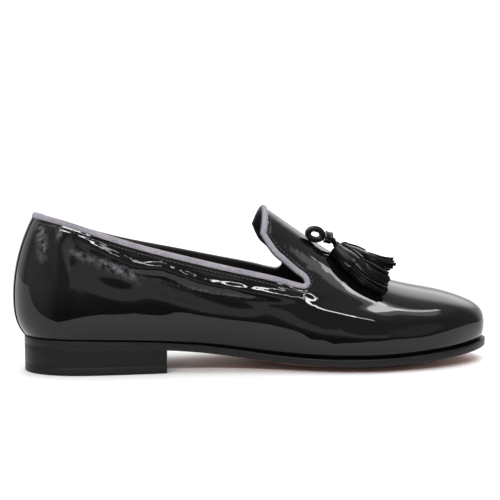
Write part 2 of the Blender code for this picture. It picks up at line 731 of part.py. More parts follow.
class Spine:
    """The middle line of a tassel over the vamp, from which places beside and above it are found."""

    def __init__(self, tassel, seat):
        self.tassel = tassel
        self.seat = seat
        route = [np.array(place, float) for place in tassel.route]
        reach = [0.0]
        for start, end in zip(route, route[1:]):
            reach.append(reach[-1] + float(np.linalg.norm(end - start)))
        plan = natural_spline(reach, route)
        found = [seat.under(*plan(far)) for far in spaced(0.0, reach[-1], SPINE_STEPS)]
        self.line = [spot for spot, _ in found]
        self.normals = [normal for _, normal in found]
        self.far = [0.0]
        for start, end in zip(self.line, self.line[1:]):
            self.far.append(self.far[-1] + float(np.linalg.norm(end - start)))

    def at(self, far):
        """Point of the line at a distance along it, with its heading and normal."""
        columns = np.array(self.line).T
        here = np.array([np.interp(far, self.far, column) for column in columns])
        low = max(0.0, min(far, self.far[-1]) - SPINE_LOOK)
        high = min(self.far[-1], far + SPINE_LOOK)
        ahead = np.array([np.interp(high, self.far, column) for column in columns])
        behind = np.array([np.interp(low, self.far, column) for column in columns])
        along = unit(ahead - behind)
        up = np.array([np.interp(far, self.far, column) for column in np.array(self.normals).T])
        up = unit(up - along * np.dot(up, along))
        return here + along * max(0.0, far - self.far[-1]), along, up

    def spot(self, far, beside, above):
        """Place at a distance along the line, beside it and above the tassel's underside."""
        here, along, up = self.at(far)
        flat = here + np.cross(up, along) * beside
        if self.tassel.draped:
            flat = self.seat.nearest(flat)
        lift = self.tassel.lift + self.tassel.rise * (far / self.tassel.length) ** 3
        return flat + up * (lift + above)

    def ring(self, far, share, count):
        """Oval section of the tassel at a distance along it, at a share of its girth."""
        half_width, half_height = girth_at(far)
        angles = [2.0 * math.pi * k / count for k in range(count)]
        return [self.spot(far, share * half_width * math.cos(a), half_height * (1.0 + share * math.sin(a)))
                for a in angles]


def oval(centre, side, up, half_width, half_height, count):
    """Section of a bar: an oval of points round a centre."""
    angles = [2.0 * math.pi * k / count for k in range(count)]
    return [centre + side * half_width * math.cos(a) + up * half_height * math.sin(a) for a in angles]


def ring_frame():
    """Heading and upright of the tassel loop, and the sideways axis across it."""
    slope = math.radians(RING_SLOPE)
    along = np.array((math.cos(slope), 0.0, math.sin(slope)))
    side = np.array((0.0, 1.0, 0.0))
    return along, np.cross(along, side), side


def build_ring(seat):
    """Leather loop standing on the inner slope of the vamp; gives its centre."""
    along, up, side = ring_frame()
    centre = seat.under(RING_X, RING_Y)[0]
    half_length = 0.5 * RING_LENGTH - RING_HALF_THICKNESS
    half_height = 0.5 * RING_HEIGHT - RING_HALF_THICKNESS
    sections = []
    for spoke in oval(np.zeros(3), along, up, half_length, half_height, RING_SECTIONS):
        sections.append(oval(centre + spoke, unit(spoke), side, RING_HALF_THICKNESS, RING_HALF_WIDTH,
                             CORD_SIDES))
    clear = min(p[2] - seat.under(p[0], p[1])[0][2] for section in sections for p in section)
    raised = np.array((0.0, 0.0, RING_CLEARANCE - clear))
    points, faces = ring_sweep([[p + raised for p in section] for section in sections])
    make_object("tassel_ring", points, faces)
    return centre + raised


def build_keeper(ring_centre):
    """Leather band in front of the loop, round the two cords; gives the middle of its front."""
    along, up, side = ring_frame()
    start = ring_centre + along * (0.5 * RING_LENGTH + SEAM_GAP)
    sections = [oval(start + along * share * KEEPER_LENGTH, side, up, girth * KEEPER_HALF_WIDTH,
                     girth * KEEPER_HALF_HEIGHT, HEAD_SIDES) for share, girth in KEEPER_GIRTHS]
    points, faces = tube_sweep(sections)
    make_object("tassel_keeper", points, faces)
    return start + along * KEEPER_LENGTH


def strip_bar(spine, number):
    """One strip of the fringe, from inside the head to its tip."""
    angle = 2.0 * math.pi * (number + 0.5) / STRIP_COUNT
    ragged = STRIP_RAGGED if number % 2 else -STRIP_RAGGED
    sections = []
    for far in spaced(TASSEL_HEAD_LENGTH - STRIP_ROOT, spine.tassel.length + ragged, STRIP_STEPS):
        half_width, half_height = girth_at(far)
        middle = spine.spot(far, STRIP_SHARE * half_width * math.cos(angle),
                            half_height * (1.0 + STRIP_SHARE * math.sin(angle)))
        _, along, up = spine.at(far)
        side = np.cross(up, along)
        across = unit(side * -half_width * math.sin(angle) + up * half_height * math.cos(angle))
        out = np.cross(across, along)
        wide = across * 0.5 * STRIP_WIDTH
        thick = out * 0.5 * STRIP_THICKNESS
        sections.append([middle - wide - thick, middle + wide - thick, middle + wide + thick,
                         middle - wide + thick])
    return tube_sweep(sections)


def build_tassel(name, tassel, seat, keeper_front):
    """Cord, rolled head, core and cut strips, fused into one solid."""
    spine = Spine(tassel, seat)
    head_places = [row.far for row in TASSEL_GIRTHS if row.far <= TASSEL_HEAD_LENGTH]
    head = make_object(name, *tube_sweep([spine.ring(far, 1.0, HEAD_SIDES) for far in head_places]))

    along, up, side = ring_frame()
    cord_start = keeper_front + along * SEAM_GAP + side * tassel.cord_start
    cord_end = spine.spot(CORD_END_ALONG, tassel.cord_end, float(girth_at(CORD_END_ALONG)[1]))
    pieces = [tube_sweep([oval(centre, side, up, CORD_RADIUS, CORD_RADIUS, CORD_SIDES)
                          for centre in (cord_start, cord_end)])]
    core_places = spaced(TASSEL_HEAD_LENGTH - STRIP_ROOT, tassel.length - CORE_SHORTER, CORE_STEPS)
    pieces.append(tube_sweep([spine.ring(far, CORE_SHARE, HEAD_SIDES) for far in core_places]))
    pieces += [strip_bar(spine, number) for number in range(STRIP_COUNT)]

    parts = bpy.data.collections.new(name + "_strips")
    for number, (points, faces) in enumerate(pieces):
        strip = make_object(f"{name}_piece_{number}", points, faces)
        strip.hide_render = True
        strip.display_type = "WIRE"
        bpy.context.scene.collection.objects.unlink(strip)
        parts.objects.link(strip)
    bpy.context.scene.collection.children.link(parts)
    fuse = head.modifiers.new("fuse strips", "BOOLEAN")
    fuse.operation = "UNION"
    fuse.solver = "EXACT"
    fuse.operand_type = "COLLECTION"
    fuse.collection = parts
    return head


for old in list(bpy.data.objects):
    bpy.data.objects.remove(old, do_unlink=True)

upper, topline = upper_sheet()
make_object("upper", *wall_from_sheet(upper, UPPER_WALL))
build_binding(upper, topline)
build_bottom()
build_back_strip()
vamp_seat = VampSeat(upper)
keeper_end = build_keeper(build_ring(vamp_seat))
for tassel_name, tassel in TASSELS.items():
    build_tassel(tassel_name, tassel, vamp_seat, keeper_end)
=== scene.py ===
import math
from collections import namedtuple

import bmesh
import bpy
import numpy as np
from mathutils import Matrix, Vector
from mathutils.bvhtree import BVHTree
from mathutils.kdtree import KDTree


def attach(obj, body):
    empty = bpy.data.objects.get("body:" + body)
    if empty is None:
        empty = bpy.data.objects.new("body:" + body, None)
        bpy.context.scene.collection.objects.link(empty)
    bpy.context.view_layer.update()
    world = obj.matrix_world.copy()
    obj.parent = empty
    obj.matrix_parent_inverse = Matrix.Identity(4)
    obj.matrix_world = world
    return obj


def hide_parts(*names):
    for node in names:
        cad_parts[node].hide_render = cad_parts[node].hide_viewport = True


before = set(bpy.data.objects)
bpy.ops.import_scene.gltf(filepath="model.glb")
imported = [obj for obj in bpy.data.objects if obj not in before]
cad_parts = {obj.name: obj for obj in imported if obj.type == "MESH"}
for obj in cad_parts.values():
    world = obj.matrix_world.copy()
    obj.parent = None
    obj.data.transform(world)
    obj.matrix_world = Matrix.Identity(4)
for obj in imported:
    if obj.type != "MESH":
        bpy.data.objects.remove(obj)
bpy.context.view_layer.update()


# Patent upper
# One cut of calf under a thick clear lacquer; quarters, vamp and tongue are one piece, pulled over a
# last, turned under and held by the sole.  The lacquer mirrors like glass, and lasting and wear have
# left soft dents and ripples in it.
MM = 0.001
LAST_TO_ROW = np.array((147.9, 2.6, 0.0))
SEAM = 0.3
LEATHER = 1.1
WALL = 2.0
THROAT_RADII = {-1: 2.2, 1: 4.5}

SoleRow = namedtuple("SoleRow", "x top belly")
SOLE_ROWS = [
    SoleRow(0, 21.6, 0), SoleRow(50, 20.6, 0), SoleRow(95, 18.2, 0.3), SoleRow(118, 15.6, 1.4),
    SoleRow(137, 12.9, 2.8), SoleRow(156, 10.4, 4.0), SoleRow(181, 8.6, 5.0), SoleRow(206, 8.4, 5.0),
    SoleRow(232, 8.9, 4.6), SoleRow(257, 10.2, 3.4), SoleRow(276, 11.6, 2.2), SoleRow(300, 14.2, 0.8),
]

# Ribs of the last at each station: foot on the spine, heading, reach at the sole, swell above it, height
# of the swell, fullness of side and top, and the sole edge left beside it
Rib = namedtuple("Rib", "x turn feather swell rise side top margin")
MEDIAL_RIBS = [
    Rib(40.0, 180, 33.1, 6.9, 0.235, 0.54, 0.30, 0.6),
    Rib(40.0, 152, 32.0, 6.2, 0.230, 0.53, 0.36, 0.6),
    Rib(41.5, 124, 29.8, 5.4, 0.210, 0.50, 0.50, 0.7),
    Rib(47.0, 101, 28.8, 4.8, 0.190, 0.50, 0.56, 0.8),
    Rib(70.0, 92, 28.5, 4.8, 0.185, 0.50, 0.56, 1.0),
    Rib(100.0, 90, 26.4, 6.2, 0.195, 0.50, 0.54, 1.2),
    Rib(130.0, 90, 26.0, 8.2, 0.215, 0.48, 0.50, 1.6),
    Rib(158.0, 90, 31.0, 7.2, 0.210, 0.41, 0.40, 2.2),
    Rib(175.3, 90, 36.4, 5.5, 0.192, 0.354, 0.353, 2.75),
    Rib(207.0, 90, 44.2, 2.8, 0.205, 0.36, 0.41, 3.0),
    Rib(234.5, 90, 42.6, 2.2, 0.255, 0.44, 0.50, 3.0),
    Rib(258.0, 90, 36.0, 2.2, 0.310, 0.52, 0.55, 3.0),
    Rib(276.0, 90, 26.2, 2.0, 0.370, 0.55, 0.58, 3.0),
    Rib(288.5, 90, 14.2, 1.4, 0.320, 0.46, 0.49, 3.0),
    Rib(293.6, 90, 0.0, 0.0, 0.080, 0.32, 0.36, 3.0),
]
LATERAL_RIBS = [
    Rib(40.0, 152, 32.2, 6.2, 0.230, 0.53, 0.36, 0.6),
    Rib(41.5, 124, 30.6, 5.4, 0.210, 0.50, 0.50, 0.7),
    Rib(47.0, 101, 30.0, 4.6, 0.190, 0.50, 0.56, 0.8),
    Rib(70.0, 92, 31.0, 4.2, 0.185, 0.50, 0.56, 1.0),
    Rib(98.0, 90, 32.6, 4.4, 0.195, 0.50, 0.54, 1.2),
    Rib(126.0, 90, 36.6, 4.6, 0.215, 0.48, 0.48, 1.8),
    Rib(151.0, 90, 42.6, 4.2, 0.200, 0.40, 0.38, 2.4),
    Rib(166.6, 90, 46.4, 3.7, 0.188, 0.35, 0.339, 2.73),
    Rib(200.0, 90, 50.2, 2.4, 0.205, 0.36, 0.42, 3.0),
    Rib(230.5, 90, 47.2, 2.2, 0.255, 0.44, 0.50, 3.0),
    Rib(256.0, 90, 39.6, 2.2, 0.310, 0.52, 0.55, 3.0),
    Rib(275.5, 90, 28.8, 2.0, 0.370, 0.55, 0.58, 3.0),
    Rib(288.5, 90, 15.6, 1.4, 0.320, 0.46, 0.49, 3.0),
]
TUCK_REACH = 0.8
TUCK_HEIGHT = 0.26
SWELL_DROP = 0.55

# Crown of the last at each station, and the height of the collar's edge on both sides up to the throat
Crown = namedtuple("Crown", "x y z")
CROWNS = [
    Crown(40.0, 0, 122.0), Crown(40.0, 0, 122.0), Crown(41.5, 0, 122.0), Crown(47.0, 0, 122.0),
    Crown(70.0, 0, 121.0), Crown(100.0, 0, 118.0), Crown(130.0, 0, 111.0), Crown(156.0, -1.0, 97.0),
    Crown(175.3, -2.5, 83.5), Crown(206.5, -4.0, 63.6), Crown(236.0, -4.0, 51.1),
    Crown(262.0, -3.0, 45.4), Crown(281.5, -2.0, 39.4), Crown(294.8, -1.0, 28.2), Crown(293.6, 0, 13.8),
]
Collar = namedtuple("Collar", "medial lateral")
COLLARS = [
    Collar(95.8, 95.8), Collar(95.6, 94.2), Collar(93.6, 90.0), Collar(89.0, 84.4), Collar(79.9, 76.5),
    Collar(71.4, 69.9), Collar(64.0, 63.4), Collar(57.8, 58.0), Collar(52.7, 54.2),
]
TongueEnd = namedtuple("TongueEnd", "station height")
TONGUE_ENDS = {-1: TongueEnd(6.72, 76.6), 1: TongueEnd(6.83, 80.0)}
TONGUE_CROWN_STATION = 6.90
TONGUE_CORNER_ROUND = 0.09
TONGUE_CORNER_START = 0.68
TOE_TIP = len(CROWNS) - 1
THROAT = len(COLLARS) - 1
# Places once round the shoe: to the toe on the medial side, then back on the lateral side
LOOP = 2 * TOE_TIP

# Mesh steps of the leather
STEPS_LOW = 14
STEPS_SIDE = 30
STEPS_TOP = 26
STEPS_STATION = 15
STEPS_TONGUE = 34
THROAT_SHARES = (0.006, 0.014, 0.025, 0.04, 0.06, 0.085, 0.115, 0.15)


def smooth_curve(knots, rows):
    """Smooth curve through rows of values, as a function of an array of knot values."""
    t = np.asarray(knots, float)
    p = np.asarray(rows, float)
    gap = np.diff(t)
    system = np.eye(len(t))
    right = np.zeros_like(p)
    for k in range(1, len(t) - 1):
        system[k, k - 1:k + 2] = (gap[k - 1], 2 * (gap[k - 1] + gap[k]), gap[k])
        right[k] = 6 * ((p[k + 1] - p[k]) / gap[k] - (p[k] - p[k - 1]) / gap[k - 1])
    bend = np.linalg.solve(system, right)

    def at(values):
        values = np.asarray(values, float)
        k = np.clip(np.searchsorted(t, values) - 1, 0, len(t) - 2)
        h = gap[k][..., None]
        before = (t[k + 1] - values)[..., None]
        after = (values - t[k])[..., None]
        return ((bend[k] * before ** 3 + bend[k + 1] * after ** 3) / (6 * h)
                + (p[k] / h - bend[k] * h / 6) * before
                + (p[k + 1] / h - bend[k + 1] * h / 6) * after)

    return at


def bezier(p0, p1, p2, p3, t):
    """Values of a cubic curve with two ends and two handles."""
    s = 1.0 - t
    return p0 * s ** 3 + 3 * p1 * s * s * t + 3 * p2 * s * t * t + p3 * t ** 3


def last_rows():
    """Rows of the last round the shoe: medial side to the toe, then back along the lateral side."""
    order = [(rib, crown, -1) for rib, crown in zip(MEDIAL_RIBS, CROWNS)]
    order += list(zip(LATERAL_RIBS, CROWNS[1:-1], [1] * len(LATERAL_RIBS)))[::-1]
    rows = []
    for rib, crown, side in order:
        heading = math.radians(rib.turn)
        rows.append((rib.x + rib.feather * math.cos(heading), side * rib.feather * math.sin(heading),
                     rib.x, rib.swell, rib.rise, rib.side, rib.top, rib.margin, *crown))
    return rows


WRAP = 5
loop_rows = last_rows()
loop_knots = range(-WRAP, LOOP + WRAP + 1)
last_at = smooth_curve(loop_knots, [loop_rows[k % LOOP] for k in loop_knots])
sole_at = smooth_curve([row.x for row in SOLE_ROWS], [(row.top, row.belly) for row in SOLE_ROWS])
collar_at = smooth_curve(range(-THROAT, THROAT + 1),
                         [(row.lateral,) for row in COLLARS[:0:-1]] + [(row.medial,) for row in COLLARS])


def place(side, station):
    """Place on the loop of a station on the medial (-1) or lateral (+1) side."""
    return station if side < 0 else LOOP - station


def wall_point(w, v):
    """Points on the outside of the upper; v is 0 at the sole, 1 at the swell and 2 at the crown."""
    w, v = np.broadcast_arrays(np.asarray(w, float), np.asarray(v, float))
    here = last_at(np.mod(w, LOOP))
    foot_x, foot_y, spine, swell, rise, side, top = (here[..., k] for k in range(7))
    reach = np.stack((foot_x - spine, foot_y, np.zeros_like(spine)), -1)
    full = 1.0 + swell / np.maximum(np.linalg.norm(reach, axis=-1), 1e-6)
    t = np.clip(v, 0.0, 1.0)
    s = np.clip(v - 1.0, 0.0, 1.0)
    low_out = bezier(1.0, 1.0 + TUCK_REACH * (full - 1.0), full, full, t)
    low_up = bezier(0.0, TUCK_HEIGHT * rise, SWELL_DROP * rise, rise, t)
    high_out = bezier(full, full, top * full, 0.0, s)
    high_up = bezier(rise, rise + side * (1.0 - rise), 1.0, 1.0, s)
    out = np.where(v <= 1.0, low_out, high_out)[..., None]
    up = np.where(v <= 1.0, low_up, high_up)[..., None]
    foot = np.stack((spine, np.zeros_like(spine), sole_at(foot_x)[..., 0] + SEAM), -1)
    return foot + reach * out + (here[..., 8:11] - foot) * up


def height_place(w, z, halvings=40):
    """Places v where the wall at w reaches the heights z."""
    low = np.ones_like(np.asarray(w, float) + z)
    high = low + 1.0
    for _ in range(halvings):
        middle = 0.5 * (low + high)
        under = wall_point(w, middle)[..., 2] < z
        low = np.where(under, middle, low)
        high = np.where(under, high, middle)
    return 0.5 * (low + high)


def throat_round(radius, distance):
    """Rise from the lowest point of the throat's round end, at distances in mm back from it."""
    ahead = 1.0 - np.minimum(1.0, np.asarray(distance) / radius)
    return radius * np.sqrt(1.0 - ahead * ahead)


def collar_place(w):
    """Places v of the collar's edge; w runs from -THROAT, lateral, to THROAT, medial."""
    w = np.asarray(w, float)
    corner = wall_point(np.copysign(THROAT, w), 1.0)[..., 0]
    distance = np.abs(corner - wall_point(w, 1.0)[..., 0])
    radius = np.where(w < 0.0, THROAT_RADII[1], THROAT_RADII[-1])
    return height_place(w, collar_at(w)[..., 0] + radius - throat_round(radius, distance))


def tongue_edge_place(side, share):
    """Places v of the tongue's side edge; share is 0 at the throat and 1 at its top corner."""
    share = np.asarray(share, float)
    end = TONGUE_ENDS[side]
    station = THROAT - share * (THROAT - end.station)
    radius = THROAT_RADII[side]
    low_z = float(collar_at(-side * THROAT)[0]) + radius
    back = np.abs(wall_point(place(side, station), 1.0)[..., 0] - wall_point(place(side, THROAT), 1.0)[0])
    z = low_z + (end.height - radius - low_z) * share + throat_round(radius, back)
    corner = np.maximum(0.0, (share - TONGUE_CORNER_START) / (1.0 - TONGUE_CORNER_START))
    return height_place(place(side, station), z) + TONGUE_CORNER_ROUND * corner * corner


def tongue_place(side, v, edge, share):
    """Loop places of the tongue between its edge and the crown, at a share of its length."""
    outward = (2.0 - v) / (2.0 - edge)
    end = TONGUE_CROWN_STATION + (TONGUE_ENDS[side].station - TONGUE_CROWN_STATION) * outward ** 2
    return place(side, THROAT - share * (THROAT - end))


class Hide:
    """A cut of leather being laid out: its points and its faces, row by row."""

    def __init__(self):
        self.blocks = []
        self.count = 0
        self.faces = []

    def add(self, points):
        """Takes an array of points and gives their numbers in the same shape."""
        numbers = np.arange(points.size // 3).reshape(points.shape[:-1]) + self.count
        self.blocks.append(points.reshape(-1, 3))
        self.count += numbers.size
        return numbers

    def weave(self, rows):
        """Faces between neighbouring rows of point numbers."""
        for first, second in zip(rows, rows[1:]):
            for a, b, c, d in zip(first, second, second[1:], first[1:]):
                corners = list(dict.fromkeys((int(a), int(b), int(c), int(d))))
                if len(corners) > 2:
                    self.faces.append(corners)

    def points(self):
        """All points laid out so far."""
        return np.concatenate(self.blocks)


def corner_normals(points, faces):
    """Unit normals at the points, averaged over the faces round them."""
    quads = np.array([face if len(face) == 4 else [*face, face[-1]] for face in faces])
    across = np.cross(points[quads[:, 2]] - points[quads[:, 0]], points[quads[:, 3]] - points[quads[:, 1]])
    total = np.zeros_like(points)
    for k in range(4):
        np.add.at(total, quads[:, k], across)
    return total / np.maximum(np.linalg.norm(total, axis=1), 1e-9)[:, None]


def lay_upper():
    """The outside of the upper, and the numbers of its topline from the lateral throat round the heel."""
    hide = Hide()
    low = np.linspace(0.0, 1.0, STEPS_LOW + 1)
    rise = np.linspace(0.0, 1.0, STEPS_SIDE + 1)[1:]

    near_throat = [THROAT - share for share in THROAT_SHARES[::-1]]
    half = sorted({*np.linspace(0.0, THROAT, THROAT * STEPS_STATION + 1).round(6), *near_throat})
    w = np.array([-value for value in half[:0:-1]] + half)
    edge = collar_place(w)
    v = np.concatenate((np.broadcast_to(low, (len(w), len(low))), 1.0 + (edge[:, None] - 1.0) * rise), 1)
    quarter = hide.add(wall_point(w[:, None], v))
    hide.weave(list(quarter))

    corner = {-1: float(edge[-1]), 1: float(edge[0])}
    wall = {side: np.concatenate((low, 1.0 + (corner[side] - 1.0) * rise)) for side in (-1, 1)}
    up = np.linspace(corner[-1], 2.0, STEPS_TOP + 1)[1:]
    down = np.linspace(2.0, corner[1], STEPS_TOP + 1)[1:-1]
    top_sides = np.array([-1] * len(up) + [1] * len(down))
    top_v = np.concatenate((up, down))
    crown_row = hide.add(wall_point(np.where(top_sides < 0, THROAT, LOOP - THROAT), top_v))
    first = np.concatenate((quarter[-1], crown_row, quarter[0][::-1]))
    stations = np.linspace(THROAT, TOE_TIP, (TOE_TIP - THROAT) * STEPS_STATION + 1)[1:-1]
    row_v = np.concatenate((wall[-1], top_v, wall[1][::-1]))
    row_lateral = np.concatenate((np.zeros(len(wall[-1])), top_sides > 0, np.ones(len(wall[1])))) > 0
    row_w = np.where(row_lateral, LOOP - stations[:, None], stations[:, None])
    vamp = hide.add(wall_point(row_w, row_v[None, :]))
    tip = np.full(len(first), hide.add(wall_point(np.array([TOE_TIP]), np.array([0.0])))[0])
    hide.weave([first, *vamp, tip])

    at_corner = len(quarter[-1]) - 1
    tongue = [first[at_corner:at_corner + 2 * STEPS_TOP + 1]]
    for share in sorted({*THROAT_SHARES, *np.linspace(0.0, 1.0, STEPS_TONGUE + 1)[1:].round(6)}):
        edges = {side: float(tongue_edge_place(side, share)) for side in (-1, 1)}
        left = np.linspace(edges[-1], 2.0, STEPS_TOP + 1)
        right = np.linspace(2.0, edges[1], STEPS_TOP + 1)[1:]
        places = np.concatenate((tongue_place(-1, left, edges[-1], share),
                                 tongue_place(1, right, edges[1], share)))
        tongue.append(hide.add(wall_point(places, np.concatenate((left, right)))))
    hide.weave([row[::-1] for row in tongue])

    topline = np.concatenate((quarter[:, -1], [row[0] for row in tongue[1:]], tongue[-1][1:-1],
                              [row[-1] for row in tongue[:0:-1]]))
    return hide.points(), hide.faces, topline.astype(int)


# Soft troughs (depth above 0) and ridges (below 0) in the patent, each along a curve through three points
# in mm: x and z on the inner (-1) or outer (+1) side
Dent = namedtuple("Dent", "side start middle end width depth")
DENTS = [
    Dent(-1, (38, 84), (54, 74.2), (70, 67.6), 2.8, -0.72),
    Dent(-1, (58, 72), (75, 65.5), (92, 65.8), 2.8, -0.70),
    Dent(-1, (80, 66), (95, 62), (110, 56.4), 2.8, -0.64),
    Dent(-1, (98, 60), (117, 54.1), (138, 51.6), 2.8, -0.72),
    Dent(-1, (124, 53), (142, 49.6), (160, 47), 2.8, -0.60),
    Dent(-1, (150, 48), (162, 46.4), (174, 45.4), 2.6, -0.40),
    Dent(-1, (66, 60), (95, 52), (128, 45), 5.0, 0.55),
    Dent(-1, (92, 49), (122, 42), (150, 39), 4.5, 0.45),
    Dent(-1, (44, 60), (60, 53), (80, 50), 4.0, 0.35),
    Dent(-1, (24, 86), (22, 72), (24, 56), 2.6, 0.25),
    Dent(-1, (30, 76), (33, 60), (31, 42), 3.0, -0.30),
    Dent(-1, (189, 31), (191, 24), (190, 16), 4.0, 0.35),
    Dent(-1, (204, 26), (207, 21), (205, 15), 4.5, -0.30),
    Dent(-1, (172, 53), (177, 49), (184, 46), 2.4, -0.30),
    Dent(-1, (176, 40), (201, 36), (230, 31.5), 3.6, -0.45),
    Dent(-1, (222, 30), (240, 27), (258, 24), 4.5, 0.30),
    Dent(1, (44, 78), (66, 67), (96, 61), 4.5, -0.45),
    Dent(1, (70, 56), (100, 49), (132, 44), 5.0, 0.50),
    Dent(1, (110, 56), (136, 50), (160, 46), 4.0, -0.45),
    Dent(1, (36, 78), (33, 60), (35, 42), 3.8, 0.45),
    Dent(1, (182, 46), (186, 33), (184, 18), 5.0, 0.50),
    Dent(1, (200, 42), (204, 30), (202, 18), 5.0, -0.35),
    Dent(1, (205, 40), (226, 36), (248, 32), 4.0, -0.35),
]
# A low rim swells round each trough: its share of the depth, its place and its width in trough widths
DENT_RIM_SHARE = 0.35
DENT_RIM_PLACE = 1.7
DENT_RIM_WIDTH = 0.8

# Pale smears painted into the lacquer's colour, standing in for soft grey reflections, where the lacquer is
# also duller; along curves like those of the dents
PaintedSmear = namedtuple("PaintedSmear", "side start middle end width strength")
PAINTED_SMEARS = [
    PaintedSmear(-1, (16, 92), (17, 82), (17, 68), 2.4, 1.0),
    PaintedSmear(-1, (21, 90), (27, 87.5), (25, 80), 1.3, 0.9),
    PaintedSmear(-1, (31, 77), (42, 72), (56, 67), 2.0, 0.7),
    PaintedSmear(-1, (46, 71), (61, 65), (77, 56.5), 2.6, 1.0),
    PaintedSmear(-1, (82, 58), (114, 50.5), (153, 44.5), 0.8, 0.4),
]
# A curve's legs, how bluntly it tapers off at its ends, and how squarely the leather has to face its side
CURVE_LEGS = 24
CURVE_TAPER = 0.7
FACING_FROM = 0.1
FACING_SPAN = 0.35


def curve_nearness(points, normals, curve):
    """Gap in mm from points of the upper to a dent's or painted smear's curve, and how much of it acts there.
    """
    plane = points[:, [0, 2]]
    steps = np.linspace(0.0, 1.0, CURVE_LEGS + 1)[:, None]
    a, b, c = (np.array(p, float) for p in (curve.start, curve.middle, curve.end))
    b = 2.0 * b - 0.5 * (a + c)
    line = a * (1 - steps) ** 2 + 2 * b * steps * (1 - steps) + c * steps ** 2
    best = np.full(len(points), np.inf)
    along = np.zeros(len(points))
    for k in range(CURVE_LEGS):
        leg = line[k + 1] - line[k]
        t = np.clip(((plane - line[k]) @ leg) / (leg @ leg), 0.0, 1.0)
        gap = np.linalg.norm(plane - line[k] - t[:, None] * leg, axis=1)
        closer = gap < best
        best = np.where(closer, gap, best)
        along = np.where(closer, (k + t) / CURVE_LEGS, along)
    taper = np.sin(np.pi * np.clip(along, 0.0, 1.0)) ** CURVE_TAPER
    side_on = np.clip((normals[:, 1] * curve.side - FACING_FROM) / FACING_SPAN, 0.0, 1.0)
    return best, taper * side_on * side_on * (3 - 2 * side_on)


def dent_depth(points, normals):
    """How far the patent is pressed in at points of the upper, with a low rim round each trough."""
    total = np.zeros(len(points))
    for dent in DENTS:
        gap, share = curve_nearness(points, normals, dent)
        r = gap / dent.width
        rim = DENT_RIM_SHARE * np.exp(-((r - DENT_RIM_PLACE) / DENT_RIM_WIDTH) ** 2)
        total += dent.depth * share * (np.exp(-r * r) - rim)
    return total


def painted_smear_share(points, normals):
    """How strongly the pale painted reflection and the duller lacquer act at points of the upper, from 0 to
    1.
    """
    total = np.zeros(len(points))
    for painted_smear in PAINTED_SMEARS:
        gap, share = curve_nearness(points, normals, painted_smear)
        total = np.maximum(total, painted_smear.strength * share * np.exp(-(gap / painted_smear.width) ** 2))
    return total


def make_piece(name, points, faces, finishes, finish_numbers=None):
    """A smooth-shaded object from points in mm of the last, with its finishes."""
    mesh = bpy.data.meshes.new(name)
    mesh.from_pydata(((points - LAST_TO_ROW) * MM).tolist(), [], faces)
    mesh.shade_smooth()
    for finish in finishes:
        mesh.materials.append(finish)
    if finish_numbers is not None:
        mesh.polygons.foreach_set("material_index", finish_numbers)
    piece = bpy.data.objects.new(name, mesh)
    bpy.context.scene.collection.objects.link(piece)
    return piece


def note(piece, label, values):
    """Writes a number or a vector at each point of a piece's mesh, for its finish or a tree to read."""
    values = np.asarray(values, np.float32)
    kind, field = ("FLOAT", "value") if values.ndim == 1 else ("FLOAT_VECTOR", "vector")
    piece.data.attributes.new(label, kind, "POINT").data.foreach_set(field, values.ravel())


def wall_solid(points, normals, faces, outer, inner):
    """Points and faces of a closed wall between two depths under a sheet."""
    count = len(points)
    both = np.concatenate((points - normals * outer, points - normals * inner))
    edges = dict.fromkeys((a, b) for face in faces for a, b in zip(face, face[1:] + face[:1]))
    rim = [[b, a, a + count, b + count] for a, b in edges if (b, a) not in edges]
    return both, faces + [[k + count for k in face[::-1]] for face in faces] + rim


class Value:
    """What comes out of a node and changes over a piece; sums with it add the nodes that work them out."""

    def __init__(self, graph, socket):
        self.graph = graph
        self.socket = socket

    def math(self, operation, first, second):
        """What an operation makes of two values, one of them this one."""
        made = self.graph.node("ShaderNodeMath", {"operation": operation}, {0: first, 1: second})
        return made["Value"]

    def __add__(self, other):
        return self.math("ADD", self, other)

    def __radd__(self, other):
        return self.math("ADD", other, self)

    def __sub__(self, other):
        return self.math("SUBTRACT", self, other)

    def __rsub__(self, other):
        return self.math("SUBTRACT", other, self)

    def __mul__(self, other):
        return self.math("MULTIPLY", self, other)

    def __rmul__(self, other):
        return self.math("MULTIPLY", other, self)

    def __truediv__(self, other):
        return self.math("DIVIDE", self, other)

    def __rtruediv__(self, other):
        return self.math("DIVIDE", other, self)


